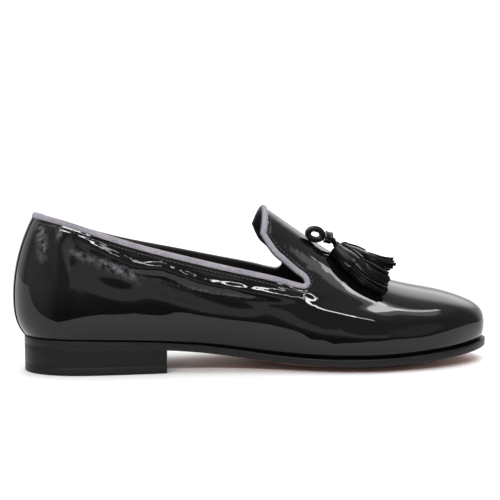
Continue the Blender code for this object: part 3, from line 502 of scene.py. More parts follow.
class Graph:
    """A tree of nodes whose values are worked out as sums."""

    def __init__(self, tree):
        self.tree = tree

    def feed(self, socket, value):
        """Links a value to a socket, or sets the socket to a constant."""
        if isinstance(value, Value):
            self.tree.links.new(value.socket, socket)
        else:
            socket.default_value = value

    def node(self, kind, settings=None, inputs=None):
        """Adds a node: its settings first, then its sockets by name or number; gives its outputs."""
        made = self.tree.nodes.new(kind)
        for key, value in (settings or {}).items():
            setattr(made, key, value)
        named = {socket.name: socket for socket in made.inputs if socket.enabled}
        for key, value in (inputs or {}).items():
            self.feed(made.inputs[key] if isinstance(key, int) else named[key], value)
        return {socket.name: Value(self, socket) for socket in made.outputs if socket.enabled}

    def place(self, kind="Object"):
        """Where on the piece a point lies."""
        return self.node("ShaderNodeTexCoord")[kind]

    def known(self, label):
        """What the mesh knows at a point under a name."""
        return self.node("ShaderNodeAttribute", {"attribute_name": label})["Fac"]

    def noise(self, size_mm, detail=2.0, roughness=0.5, stretch=(1.0, 1.0, 1.0)):
        """Cloudy pattern from 0 to 1 whose lumps are about size_mm wide."""
        spot = self.node("ShaderNodeMapping", None, {"Vector": self.place(), "Scale": stretch})
        made = self.node("ShaderNodeTexNoise", None, {
            "Vector": spot["Vector"], "Scale": 0.5 / (size_mm * MM), "Detail": detail,
            "Roughness": roughness})
        return made["Fac"]

    def grade(self, value, low, high, out_low=0.0, out_high=1.0):
        """Maps a value smoothly from one range to another, held at its ends."""
        made = self.node("ShaderNodeMapRange", {"interpolation_type": "SMOOTHSTEP"}, {
            "Value": value, "From Min": low, "From Max": high, "To Min": out_low, "To Max": out_high})
        return made["Result"]

    def size(self, value):
        """A value without its sign."""
        return self.node("ShaderNodeMath", {"operation": "ABSOLUTE"}, {0: value})["Value"]

    def dot(self, first, second):
        """How far one direction lies along another."""
        made = self.node("ShaderNodeVectorMath", {"operation": "DOT_PRODUCT"}, {0: first, 1: second})
        return made["Value"]

    def mix(self, share, first, second):
        """Blends two colours."""
        made = self.node("ShaderNodeMix", {"data_type": "RGBA"}, {"Factor": share, "A": first, "B": second})
        return made["Result"]


class Finish(Graph):
    """A material put together from nodes round one principled shader."""

    def __init__(self, name, **constants):
        self.material = bpy.data.materials.new(name)
        self.material.use_nodes = True
        super().__init__(self.material.node_tree)
        self.shader = self.tree.nodes["Principled BSDF"]
        self.wear(**constants)

    def wear(self, **sockets):
        """Feeds the shader's sockets; a name's underscores stand for spaces."""
        for name, value in sockets.items():
            self.feed(self.shader.inputs[name.replace("_", " ")], value)

    def emboss(self, height, depth_mm):
        """Gives the shader's normal a relief whose height of 1 stands for depth_mm."""
        made = self.node("ShaderNodeBump", None, {"Height": height, "Distance": depth_mm * MM})
        self.wear(Normal=made["Normal"])


def rgb(red, green, blue):
    """Linear colour from the 0 to 255 values that a screen shows."""
    steps = [value / 255.0 for value in (red, green, blue)]
    return (*(s / 12.92 if s <= 0.04045 else ((s + 0.055) / 1.055) ** 2.4 for s in steps), 1.0)


STITCH_BELOW_EDGE = 4.7
STITCH_GROOVE = 1.3
PATENT_RELIEF = 0.05

# Relief of the lacquer: fine orange peel, long waves, puckers under the topline's seam and the seam's groove
patent = Finish("patent_leather", IOR=1.38)
peel = patent.noise(1.6, detail=1.0)
swim = patent.noise(9.0, detail=1.0)
pucker = patent.noise(3.4, detail=1.5, stretch=(1.0, 1.0, 0.7))
below_edge = patent.known("below_edge")
pulled = patent.grade(below_edge, 2.0, 4.5) * patent.grade(below_edge, 20.0, 9.0)
groove = patent.grade(patent.size(below_edge - STITCH_BELOW_EDGE), 0.0, STITCH_GROOVE, 1.0, 0.0)
dust = patent.grade(patent.noise(0.8, detail=3.0), 0.60, 0.78)
# Pale smears painted into the coat's colour stand in for soft reflections; the lacquer is also rougher there
painted_smear_and_dullness = patent.known("painted_smear") * patent.grade(patent.noise(1.5, detail=4.0, roughness=0.65), 0.36, 0.66)
coat_colour = patent.mix(dust * 0.4, rgb(9, 9, 10), rgb(18, 18, 19))
patent.wear(Base_Color=patent.mix(painted_smear_and_dullness, coat_colour, rgb(98, 97, 101)),
            Roughness=0.03 + dust * 0.03 + painted_smear_and_dullness * 0.25)
patent.emboss(swim + peel * 0.12 + pulled * pucker * 6.0 - groove * 1.6, PATENT_RELIEF)

sheet_points, sheet_faces, topline = lay_upper()
sheet_normals = corner_normals(sheet_points, sheet_faces)
sheet_points = sheet_points - sheet_normals * dent_depth(sheet_points, sheet_normals)[:, None]
sheet_normals = corner_normals(sheet_points, sheet_faces)

upper = make_piece("patent_upper", *wall_solid(sheet_points, sheet_normals, sheet_faces, 0.0, LEATHER),
                   [patent.material])
edge_tree = KDTree(len(topline))
for number in topline:
    edge_tree.insert(sheet_points[number], int(number))
edge_tree.balance()
edge_gap = [edge_tree.find(point)[2] for point in sheet_points]
note(upper, "below_edge", edge_gap * 2)
# Where the pale smears of painted reflection lie, with their duller lacquer
note(upper, "painted_smear", np.tile(painted_smear_share(sheet_points, sheet_normals), 2))
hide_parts("upper")
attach(upper, "root")


# Lining
# Thin black calf glued inside the patent and trimmed level with the binding's fold.  It is dull and
# soft-grained, and shows in the collar behind the binding.
LINING_STAND = 0.85
LINING_GLUE = 0.05


def unit(vectors):
    """Vectors of length one."""
    return vectors / np.linalg.norm(vectors, axis=-1, keepdims=True)


def clouded_finish(name, gloss, cloud, colours, dullness):
    """A finish that drifts between two colours and two roughnesses, in clouds of a size (mm) and detail."""
    finish = Finish(name, IOR=gloss)
    share = finish.noise(*cloud)
    finish.wear(Base_Color=finish.mix(share, *colours),
                Roughness=dullness[0] + share * (dullness[1] - dullness[0]))
    return finish


lining_calf = clouded_finish("lining_calf", 1.45, (14.0, 2.0), (rgb(16, 13, 14), rgb(28, 24, 25)),
                             (0.48, 0.64))
lining_calf.emboss(lining_calf.noise(0.55, detail=3.0, roughness=0.6), 0.12)

lining_sheet = sheet_points.copy()
lining_line = sheet_points[topline]
lining_along = unit(np.roll(lining_line, -1, 0) - np.roll(lining_line, 1, 0))
lining_down = unit(np.cross(lining_along, sheet_normals[topline]))
lining_sheet[topline] -= lining_down * LINING_STAND
lining_wall = wall_solid(lining_sheet, sheet_normals, sheet_faces, LEATHER + LINING_GLUE, WALL)
lining = make_piece("lining", *lining_wall, [lining_calf.material])
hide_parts("upper")
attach(lining, "root")


# Topline binding
# Grey silk grosgrain ribbon folded over the raw edge of the collar, throat and tongue and sewn down.  Its
# cross ribs stand close together and fan out round the corners of the throat.
RIBBON_RIB_PITCH = 1.15
RIBBON_RIB_HEIGHT = 0.24
RIBBON_RIB_MIDDLE = 0.6
RIBBON_STEPS_PER_RIB = 6
RIBBON_LEAN_ROUNDS = 12
RIBBON_HEADING_ROUNDS = 8

# Section of the folded ribbon: out from the leather's face, down from its edge, and how much the ribs
# stand there
RibbonEdge = namedtuple("RibbonEdge", "out down ribs")
RIBBON_SECTION = [
    RibbonEdge(0.06, 2.60, 0.0), RibbonEdge(0.06, -0.06, 0.0), RibbonEdge(-1.05, -0.06, 0.0),
    RibbonEdge(-1.05, -0.50, 0.5), RibbonEdge(-0.85, -0.70, 1.0), RibbonEdge(-0.40, -0.80, 1.0),
    RibbonEdge(0.20, -0.70, 1.0), RibbonEdge(0.66, -0.34, 1.0), RibbonEdge(0.88, 0.22, 1.0),
    RibbonEdge(0.95, 0.85, 1.0), RibbonEdge(0.92, 1.50, 1.0), RibbonEdge(0.78, 2.06, 1.0),
    RibbonEdge(0.50, 2.48, 0.9), RibbonEdge(0.24, 2.66, 0.4),
]


def evenly(points, others, step):
    """A closed line of points laid out again at even steps, with what else is known at each of them."""
    ring = np.concatenate((points, points[:1]))
    far = np.concatenate(([0.0], np.cumsum(np.linalg.norm(np.diff(ring, axis=0), axis=1))))
    count = int(round(far[-1] / step))
    spots = np.linspace(0.0, far[-1], count, endpoint=False)
    out = []
    for values in (points, *others):
        closed = np.concatenate((values, values[:1]))
        out.append(np.stack([np.interp(spots, far, closed[:, k]) for k in range(closed.shape[1])], -1))
    return out, spots


def softened(values, rounds):
    """Values round a closed line, each averaged with its neighbours a number of times."""
    for _ in range(rounds):
        values = 0.5 * values + 0.25 * (np.roll(values, 1, 0) + np.roll(values, -1, 0))
    return values


def swept(sections, closed):
    """Points and faces of a bar through rings of points, joined end to end or capped."""
    rings = np.asarray(sections, float)
    count, sides = rings.shape[:2]
    numbers = np.arange(count * sides).reshape(count, sides)
    numbers = np.concatenate((numbers, numbers[:, :1]), 1)
    rows = [*numbers, numbers[0]] if closed else list(numbers)
    bar = Hide()
    bar.weave(rows)
    if not closed:
        bar.faces += [numbers[0, :-1].tolist(), numbers[-1, -2::-1].tolist()]
    return rings.reshape(-1, 3), bar.faces


ribbon_step = RIBBON_RIB_PITCH / RIBBON_STEPS_PER_RIB
(edge_line, edge_out), edge_far = evenly(sheet_points[topline], [sheet_normals[topline]], ribbon_step)
edge_out = unit(softened(edge_out, RIBBON_LEAN_ROUNDS))
edge_along = unit(softened(np.roll(edge_line, -1, 0) - np.roll(edge_line, 1, 0), RIBBON_HEADING_ROUNDS))
edge_down = unit(np.cross(edge_along, edge_out))
ribbon_rings = np.stack([edge_line + edge_out * row.out + edge_down * row.down for row in RIBBON_SECTION], 1)

grosgrain = Finish("grosgrain_ribbon", IOR=1.45, Sheen_Weight=0.25, Sheen_Roughness=0.4)
thread_tone = grosgrain.noise(0.35, detail=2.0)
wash = grosgrain.noise(9.0, detail=2.0)
grosgrain.wear(
    Base_Color=grosgrain.mix(grosgrain.grade(thread_tone * 0.6 + wash * 0.4, 0.35, 0.7),
                             rgb(112, 108, 116), rgb(150, 145, 154)),
    Roughness=0.52 + thread_tone * 0.2)
grosgrain.emboss(thread_tone, 0.05)

binding = make_piece("topline_ribbon", *swept(ribbon_rings, True), [])
note(binding, "along_mm", np.repeat(edge_far, len(RIBBON_SECTION)))
note(binding, "rib_share", np.tile([row.ribs for row in RIBBON_SECTION], len(edge_line)))


class Tree(Graph):
    """A geometry tree with named sizes, run once on a piece and then made its plain mesh."""

    def __init__(self, name, sizes):
        super().__init__(bpy.data.node_groups.new(name, "GeometryNodeTree"))
        face = self.tree.interface
        face.new_socket("Geometry", in_out="INPUT", socket_type="NodeSocketGeometry")
        face.new_socket("Geometry", in_out="OUTPUT", socket_type="NodeSocketGeometry")
        self.sizes = sizes
        for label in sizes:
            face.new_socket(label, in_out="INPUT", socket_type="NodeSocketFloat")
        face.new_socket("Finish", in_out="INPUT", socket_type="NodeSocketMaterial")
        self.start = self.node("NodeGroupInput")

    def known(self, label, kind="FLOAT"):
        """What is known at each point under a name."""
        return self.node("GeometryNodeInputNamedAttribute", {"data_type": kind}, {"Name": label})["Attribute"]

    def run(self, piece, shape, finish):
        """Runs the tree on a piece and keeps the shape it ends in as the piece's own mesh."""
        real = self.node("GeometryNodeRealizeInstances", None, {"Geometry": shape})
        painted = self.node("GeometryNodeSetMaterial", None, {
            "Geometry": real["Geometry"], "Material": self.start["Finish"]})
        self.node("NodeGroupOutput", None, {"Geometry": painted["Geometry"]})
        step = piece.modifiers.new(self.tree.name, "NODES")
        step.node_group = self.tree
        for item in self.tree.interface.items_tree:
            if item.in_out == "INPUT" and item.name in self.sizes:
                step[item.identifier] = self.sizes[item.name]
            elif item.in_out == "INPUT" and item.name == "Finish":
                step[item.identifier] = finish
        ready = piece.evaluated_get(bpy.context.evaluated_depsgraph_get())
        mesh = bpy.data.meshes.new_from_object(ready)
        piece.modifiers.remove(step)
        piece.data = mesh
        mesh.shade_smooth()


ribs = Tree("grosgrain_ribs", {"Rib Pitch": RIBBON_RIB_PITCH, "Rib Height": RIBBON_RIB_HEIGHT * MM})
half_turn = ribs.known("along_mm") * math.pi / ribs.start["Rib Pitch"]
wave = ribs.node("ShaderNodeMath", {"operation": "SINE"}, {0: half_turn})["Value"]
height = (ribs.size(wave) - RIBBON_RIB_MIDDLE) * ribs.known("rib_share") * ribs.start["Rib Height"]
lift = ribs.node("ShaderNodeVectorMath", {"operation": "SCALE"}, {
    "Vector": ribs.node("GeometryNodeInputNormal")["Normal"], "Scale": height})
ribbed = ribs.node("GeometryNodeSetPosition", None, {
    "Geometry": ribs.start["Geometry"], "Offset": lift["Vector"]})
ribs.run(binding, ribbed["Geometry"], grosgrain.material)
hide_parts("topline_binding")
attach(binding, "root")


# Topline stitching
# A row of dark waxed thread through patent and lining, close under the ribbon, all round the collar and
# the tongue.  The stitches lie in a shallow groove that their pull has made.
STITCH_PITCH = 2.5
STITCH_LENGTH = 1.9
THREAD = 0.5
STITCH_SINK = 0.02
STITCH_LINE_SKIP = 4
STITCH_LINE_ROUNDS = 6
BEAD_SIDES = 8
BEAD_RINGS = 6

skin = BVHTree.FromPolygons(sheet_points.tolist(), sheet_faces)


def on_skin(points):
    """Nearest points on the patent's face, and the normals there."""
    found = [skin.find_nearest(Vector(p))[:2] for p in points]
    return np.array([spot for spot, _ in found]), np.array([normal for _, normal in found])


stitch_line, _ = on_skin((edge_line + edge_down * STITCH_BELOW_EDGE)[::STITCH_LINE_SKIP])
stitch_line, stitch_out = on_skin(softened(stitch_line, STITCH_LINE_ROUNDS))
stitches = make_piece("topline_stitches", stitch_line - stitch_out * STITCH_SINK, [], [])
stitch_edges = [(k, (k + 1) % len(stitch_line)) for k in range(len(stitch_line))]
stitches.data.edges.add(len(stitch_edges))
stitches.data.edges.foreach_set("vertices", np.array(stitch_edges).ravel())
note(stitches, "up", stitch_out)

THREAD_TWIST = (0.25, 1.0)
waxed_thread = clouded_finish("waxed_thread", 1.5, THREAD_TWIST, (rgb(34, 34, 36), rgb(70, 69, 72)),
                              (0.32, 0.52))
waxed_thread.emboss(waxed_thread.noise(*THREAD_TWIST), 0.05)

stitch_row = Tree("stitch_row", {
    "Pitch": STITCH_PITCH * MM, "Length": STITCH_LENGTH * MM, "Thread": THREAD * MM})
curve = stitch_row.node("GeometryNodeMeshToCurve", None, {"Mesh": stitch_row.start["Geometry"]})
even = stitch_row.node("GeometryNodeResampleCurve", {"mode": "LENGTH"}, {
    "Curve": curve["Curve"], "Length": stitch_row.start["Pitch"]})
bead = stitch_row.node("GeometryNodeMeshUVSphere", None, {
    "Segments": BEAD_SIDES, "Rings": BEAD_RINGS, "Radius": 0.5})
girth = stitch_row.node("ShaderNodeCombineXYZ", None, {
    "X": stitch_row.start["Length"], "Y": stitch_row.start["Thread"], "Z": stitch_row.start["Thread"]})
stitch = stitch_row.node("GeometryNodeTransform", None, {"Geometry": bead["Mesh"], "Scale": girth["Vector"]})
lay = stitch_row.node("FunctionNodeAxesToRotation", {"primary_axis": "Z", "secondary_axis": "X"}, {
    "Primary Axis": stitch_row.known("up", "FLOAT_VECTOR"),
    "Secondary Axis": stitch_row.node("GeometryNodeInputTangent")["Tangent"]})
sewn = stitch_row.node("GeometryNodeInstanceOnPoints", None, {
    "Points": even["Curve"], "Instance": stitch["Geometry"], "Rotation": lay["Rotation"]})
stitch_row.run(stitches, sewn["Instances"], waxed_thread.material)
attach(stitches, "root")


# Back strip
# A narrow strip of the same patent, skived thin at its edges and sewn over the seam at the back of the
# heel, from under the ribbon down to the sole.
BACK_STRIP_HALF = 5.2
BACK_STRIP_THICK = 0.55
BACK_STRIP_ROWS = 60
BACK_STRIP_TOP = 1.2
BACK_STRIP_FOOT = 0.02
BACK_STRIP_CREASE = 60
CLEAR_OF_SEAM = 40.0

# Across the strip: share of its half width, and share of its thickness
BackStripPoint = namedtuple("BackStripPoint", "across height")
BACK_STRIP_SECTION = [
    BackStripPoint(1.0, -0.2), BackStripPoint(1.0, 0.45), BackStripPoint(0.975, 0.82),
    BackStripPoint(0.94, 0.97), BackStripPoint(0.88, 1.0), BackStripPoint(0.6, 1.0),
    BackStripPoint(0.3, 1.0), BackStripPoint(0.0, 1.0),
]
strip_profile = BACK_STRIP_SECTION + [BackStripPoint(-p.across, p.height) for p in BACK_STRIP_SECTION[-2::-1]]

# A small step along the loop of places, to find headings
NEARBY = 0.02


def turned_out(piece):
    """Turns every face of a closed piece outwards."""
    mesh = bmesh.new()
    mesh.from_mesh(piece.data)
    bmesh.ops.recalc_face_normals(mesh, faces=mesh.faces)
    mesh.to_mesh(piece.data)
    mesh.free()


def sharp_edges(piece, degrees):
    """Keeps edges steeper than an angle crisp."""
    piece.data.set_sharp_from_angle(angle=math.radians(degrees))


strip_top = collar_place(np.zeros(1))[0]
strip_v = np.linspace(BACK_STRIP_FOOT, strip_top, BACK_STRIP_ROWS)
strip_span = np.linalg.norm(wall_point(np.ones(BACK_STRIP_ROWS), strip_v)
                            - wall_point(-np.ones(BACK_STRIP_ROWS), strip_v), axis=1)
strip_w = np.outer(2.0 * BACK_STRIP_HALF / strip_span, [p.across for p in strip_profile])
strip_grid = wall_point(strip_w, np.broadcast_to(strip_v[:, None], strip_w.shape))
strip_across = unit(wall_point(strip_w + NEARBY, strip_v[:, None])
                    - wall_point(strip_w - NEARBY, strip_v[:, None]))
strip_up = unit(np.gradient(strip_grid, axis=0))
strip_out = unit(np.cross(strip_across, strip_up))
strip_height = np.array([p.height for p in strip_profile]) * BACK_STRIP_THICK
strip_grid = strip_grid + strip_out * strip_height[:, None]
strip_grid[-1] -= strip_up[-1] * BACK_STRIP_TOP
strip_piece = make_piece("back_strip", *swept(strip_grid, False), [patent.material])
note(strip_piece, "below_edge", np.full(strip_grid.size // 3, CLEAR_OF_SEAM))
turned_out(strip_piece)
sharp_edges(strip_piece, BACK_STRIP_CREASE)
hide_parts("back_strip")
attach(strip_piece, "root")


# Insole and sock
# A fibre board that the upper is lasted round, covered inside the shoe by a black leather sock.  The
# foot's pressure leaves its middle a little lower than its edge.
SOCK_CLEARANCE = 0.25
INSOLE_BOARD = 3.0
SOCK_DISH = 0.5
SOCK_EDGE = 0.5
SOCK_STEPS = 120
SOCK_ACROSS = 30
SOCK_CREASE = 40


def sole_outline(w, margin_share, inset):
    """Plan points of a sole: the upper's feather plus a share of its margin, less an inset."""
    w = np.asarray(w, float)
    along = unit((last_at(np.mod(w + NEARBY, LOOP)) - last_at(np.mod(w - NEARBY, LOOP)))[..., :2])
    outward = np.stack((along[..., 1], -along[..., 0]), -1)
    here = last_at(np.mod(w, LOOP))
    inward = inset(here[..., :1]) if callable(inset) else inset
    return here[..., :2] + outward * (margin_share * here[..., 7:8] - inward)


def outline_station(side, x, margin_share, inset, halvings=40):
    """Station on one side, between heel and ball, where the outline passes x."""
    low = 2.0
    high = float(THROAT + 2)
    for _ in range(halvings):
        middle = 0.5 * (low + high)
        if sole_outline(place(side, middle), margin_share, inset)[0] < x:
            low = middle
        else:
            high = middle
    return 0.5 * (low + high)


def cut_slab(rings, margin_share, steps, across, front_x=None):
    """Points, faces and ring numbers of a flat piece with the shoe's outline.

    Each ring is an inset, or a function that gives it along the shoe, and a height; the first carries the
    upper face, the last the lower face.  front_x cuts the piece square at the front.
    """
    slab = Hide()
    loops = []
    face_rings = []
    square = front_x is not None
    for number, (inset, height) in enumerate(rings):
        filled = number in (0, len(rings) - 1)
        ends = {-1: TOE_TIP, 1: TOE_TIP}
        if square:
            ends = {side: outline_station(side, front_x, margin_share, inset) for side in (-1, 1)}
        rows = []
        for k in range(steps + 1):
            medial, lateral = [sole_outline(place(side, ends[side] * k / steps), margin_share, inset)
                               for side in (-1, 1)]
            columns = np.linspace(-1.0, 1.0, across + 1) if filled else np.array((-1.0, 1.0))
            if k == steps and square:
                columns = np.linspace(-1.0, 1.0, across + 1)
                medial[0] = lateral[0] = front_x - inset
            elif k in (0, steps):
                columns = np.array((0.0,))
            plan = 0.5 * (medial * (1.0 - columns[:, None]) + lateral * (1.0 + columns[:, None]))
            rows.append(slab.add(np.column_stack((plan, height(plan[:, 0], columns)))))
        if filled:
            full = [row if len(row) > 1 else np.repeat(row, across + 1) for row in rows]
            slab.weave(full if number == 0 else [row[::-1] for row in full])
            face_rings += [number] * (len(slab.faces) - len(face_rings))
        medial_edge = [row[0] for row in rows[:-1]]
        lateral_edge = [row[-1] for row in rows[1:-1]]
        loops.append([*medial_edge, *rows[-1], *lateral_edge[::-1], medial_edge[0]])
    for number, (above, below) in enumerate(zip(loops, loops[1:])):
        slab.weave([below, above])
        face_rings += [number + 0.5] * (len(slab.faces) - len(face_rings))
    return slab.points(), slab.faces, np.array(face_rings)


def sock_top(x, c):
    """Height of the sock at x; c runs across it from -1 to 1."""
    return sole_at(x)[:, 0] + SEAM + INSOLE_BOARD - SOCK_DISH * (1.0 - c * c)


sock_calf = clouded_finish("sock_calf", 1.45, (16.0, 2.0), (rgb(18, 16, 16), rgb(30, 27, 27)), (0.5, 0.65))
sock_calf.emboss(sock_calf.noise(0.6, detail=3.0, roughness=0.6), 0.12)

sock_inset = WALL + SOCK_CLEARANCE
sock_points, sock_faces, _ = cut_slab([
    (sock_inset + SOCK_EDGE, sock_top),
    (sock_inset, lambda x, c: sock_top(x, c) - SOCK_EDGE),
    (sock_inset, lambda x, c: sole_at(x)[:, 0] + SEAM),
], 0.0, SOCK_STEPS, SOCK_ACROSS)
insole = make_piece("insole_sock", sock_points, sock_faces, [sock_calf.material])
sharp_edges(insole, SOCK_CREASE)
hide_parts("insole")
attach(insole, "root")


# Outsole
# One sole of firm leather, glued and trimmed close; its edge and the narrow margin on top are dressed
# with black wax, its underside keeps the leather's warm brown.
SOLE_EDGE = 4.5
SOLE_STEPS = 150
SOLE_ACROSS = 30
HEEL_BREAST = 91.0
HEEL_BREAST_FADE = 4.0

# The rounded edges of the sole: in from its outline, and down from its top or up from its lower edge
EdgeRound = namedtuple("EdgeRound", "inward depth")
SOLE_TOP_ROUND = [EdgeRound(0.9, 0.0), EdgeRound(0.35, 0.06), EdgeRound(0.08, 0.32), EdgeRound(0.0, 0.7)]
SOLE_FOOT_ROUND = [EdgeRound(0.0, 0.7), EdgeRound(0.1, 0.35), EdgeRound(0.35, 0.08)]
SOLE_TREAD_INSET = 0.7


def rounded_under(inset):
    """An inset for the sole's lower edge, which is left square where the heel is built on."""
    return lambda x: inset * np.clip((x - HEEL_BREAST) / HEEL_BREAST_FADE, 0.0, 1.0)


def sole_under(x, c):
    """Height of the sole's underside, flat where it meets the floor."""
    top, belly = sole_at(x).T
    return np.maximum(0.0, top - SOLE_EDGE - belly * (1.0 - c * c))


def sole_side(depth):
    """Heights at a depth below the sole's top edge."""
    return lambda x, c: sole_at(x)[:, 0] - depth


edge_wax = clouded_finish("sole_edge_wax", 1.25, (7.0, 3.0), (rgb(20, 20, 21), rgb(29, 29, 30)),
                          (0.3, 0.46))
edge_wax.emboss(edge_wax.noise(0.9, detail=2.0, stretch=(0.08, 0.08, 1.0)), 0.06)

tread_leather = Finish("tread_leather", IOR=1.45)
tread_grain = tread_leather.noise(0.9, detail=4.0, roughness=0.65)
tread_cloud = tread_leather.noise(22.0, detail=3.0)
tread_leather.wear(Base_Color=tread_leather.mix(tread_cloud, rgb(126, 70, 48), rgb(162, 96, 68)),
                   Roughness=0.42 + tread_grain * 0.25)
tread_leather.emboss(tread_grain, 0.1)

sole_rings = [
    *((edge.inward, sole_side(edge.depth)) for edge in SOLE_TOP_ROUND),
    *((rounded_under(edge.inward), sole_side(SOLE_EDGE - edge.depth)) for edge in SOLE_FOOT_ROUND),
    (rounded_under(SOLE_TREAD_INSET), sole_under),
]
sole_points, sole_faces, sole_face_rings = cut_slab(sole_rings, 1.0, SOLE_STEPS, SOLE_ACROSS)
outsole = make_piece("outsole", sole_points, sole_faces, [edge_wax.material, tread_leather.material],
                     (sole_face_rings == len(sole_rings) - 1).astype(np.int32))
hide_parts("outsole")
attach(outsole, "root")


# Heel block
# A stack of leather lifts, nailed and glued, rasped to the seat's outline and waxed black.  The joins of
# the lifts show only as faint lines, and the breast is cut straight.
HEEL_FOOT_INSET = 0.2
HEEL_JOIN = 0.06
HEEL_STEPS = 60
HEEL_ACROSS = 14
HEEL_CREASE = 50
LIFT = 5.0
STACK_LIFT = 3.9
STACK_LINE = 0.06


def level(z):
    """The same height everywhere."""
    return lambda x, c: np.full_like(x, z)


heel_wax = clouded_finish("heel_wax", 1.22, (8.0, 3.0), (rgb(18, 18, 19), rgb(26, 26, 27)), (0.32, 0.50))
heel_height = heel_wax.node("ShaderNodeSeparateXYZ", None, {"Vector": heel_wax.place()})["Z"]
heel_grain = heel_wax.noise(0.8, detail=3.0, stretch=(0.15, 0.15, 1.0))
stack_place = heel_wax.node("ShaderNodeMath", {"operation": "FRACT"}, {
    0: (heel_height - LIFT * MM) / (STACK_LIFT * MM)})["Value"]
stack_line = heel_wax.grade(stack_place, 0.0, STACK_LINE, 1.0, 0.0)
heel_wax.emboss(heel_grain * 0.3 - stack_line * 0.3, 0.1)

heel_points, heel_faces, _ = cut_slab([
    (HEEL_JOIN, lambda x, c: sole_under(x, c) - 0.5 * HEEL_JOIN),
    (0.0, lambda x, c: sole_under(x, c) - 2.0 * HEEL_JOIN),
    (0.5 * HEEL_FOOT_INSET, lambda x, c: 0.5 * (sole_under(x, c) + LIFT)),
    (HEEL_FOOT_INSET, level(LIFT + 2.0 * HEEL_JOIN)),
    (HEEL_FOOT_INSET + HEEL_JOIN, level(LIFT + 0.5 * HEEL_JOIN)),
], 1.0, HEEL_STEPS, HEEL_ACROSS, HEEL_BREAST)
heel = make_piece("heel_block", heel_points, heel_faces, [heel_wax.material])
sharp_edges(heel, HEEL_CREASE)
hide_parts("heel_block")
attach(heel, "root")


# Top lift
# The wearing piece of the heel, hard black rubber glued and nailed under the stack.  A fine line parts it
# from the leather, and its lower edge is rounded off.
LIFT_ROUND = 0.6
LIFT_ROUND_MIDDLE = 0.18

lift_rubber = clouded_finish("lift_rubber", 1.25, (9.0, 2.0), (rgb(16, 16, 17), rgb(24, 24, 25)),
                             (0.42, 0.57))
lift_rubber.emboss(lift_rubber.noise(0.5, detail=3.0), 0.05)

lift_points, lift_faces, _ = cut_slab([
    (HEEL_FOOT_INSET + HEEL_JOIN, level(LIFT)),
    (HEEL_FOOT_INSET, level(LIFT - HEEL_JOIN)),
    (HEEL_FOOT_INSET, level(LIFT_ROUND)),
    (HEEL_FOOT_INSET + LIFT_ROUND_MIDDLE, level(LIFT_ROUND_MIDDLE)),
    (HEEL_FOOT_INSET + LIFT_ROUND, level(0.0)),
], 1.0, HEEL_STEPS, HEEL_ACROSS, HEEL_BREAST)
top_lift = make_piece("top_lift", lift_points, lift_faces, [lift_rubber.material])
sharp_edges(top_lift, HEEL_CREASE)
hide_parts("top_lift")
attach(top_lift, "root")


# Tassel loop and keeper
# A thick loop of black calf, rolled and glued, stands on the inner slope of the vamp.  A short band of
# the same calf gathers it and holds the cords of the two tassels.
LOOP_X = 185.0
LOOP_Y = -10.6
LOOP_SLOPE = -15.0
LOOP_LENGTH = 13.0
LOOP_HEIGHT = 10.6
LOOP_HALF_THICK = 2.0
LOOP_HALF_WIDE = 1.6
LOOP_CLEARANCE = 0.1
LOOP_SECTIONS = 72
LOOP_SIDES = 20
LOOP_SQUARENESS = 0.7
KEEPER_LENGTH = 4.6
KEEPER_HALF_WIDE = 4.0
KEEPER_HALF_HIGH = 3.9
KEEPER_TUCK = 0.4
KEEPER_SIDES = 48
KEEPER_CREASE = 50
HIGH_ABOVE = 150.0

# The keeper's girth at shares of its length, from one rolled rim to the other
KeeperGirth = namedtuple("KeeperGirth", "share girth")
KEEPER_GIRTHS = [
    KeeperGirth(0.10, 0.60), KeeperGirth(0.02, 0.80), KeeperGirth(0.0, 0.88), KeeperGirth(0.05, 0.97),
    KeeperGirth(0.14, 1.0), KeeperGirth(0.24, 0.95), KeeperGirth(0.5, 0.97), KeeperGirth(0.76, 0.95),
    KeeperGirth(0.86, 1.0), KeeperGirth(0.95, 0.97), KeeperGirth(1.0, 0.88), KeeperGirth(0.98, 0.80),
    KeeperGirth(0.90, 0.60),
]


def under(x, y):
    """Point of the patent's face straight below, and the normal there."""
    spot, normal = skin.ray_cast(Vector((x, y, HIGH_ABOVE)), Vector((0.0, 0.0, -1.0)))[:2]
    return np.array(spot), np.array(normal)


def ring_turns(count):
    """Angles evenly round a ring."""
    return 2.0 * math.pi * np.arange(count) / count


def squared(wave):
    """A sine or cosine made fuller, so that a round section gets flatter sides."""
    return np.copysign(np.abs(wave) ** LOOP_SQUARENESS, wave)


def calf_finish(name, gloss, dullness, grain_mm):
    """Black calf: its coat's optical density, its least roughness and the height of its grain."""
    calf = Finish(name, IOR=gloss)
    grain = calf.noise(0.45, detail=3.0, roughness=0.6)
    wear = calf.grade(calf.noise(5.0, detail=3.0), 0.45, 0.75)
    calf.wear(Base_Color=calf.mix(wear * 0.6, rgb(6, 6, 7), rgb(14, 14, 15)),
              Roughness=dullness + wear * 0.10)
    calf.emboss(grain, grain_mm)
    return calf


loop_calf = calf_finish("loop_calf", 1.45, 0.05, 0.09)

sideways = np.array((0.0, 1.0, 0.0))
slope = math.radians(LOOP_SLOPE)
loop_along = np.array((math.cos(slope), 0.0, math.sin(slope)))
loop_out = np.cross(loop_along, sideways)
loop_centre = under(LOOP_X, LOOP_Y)[0]

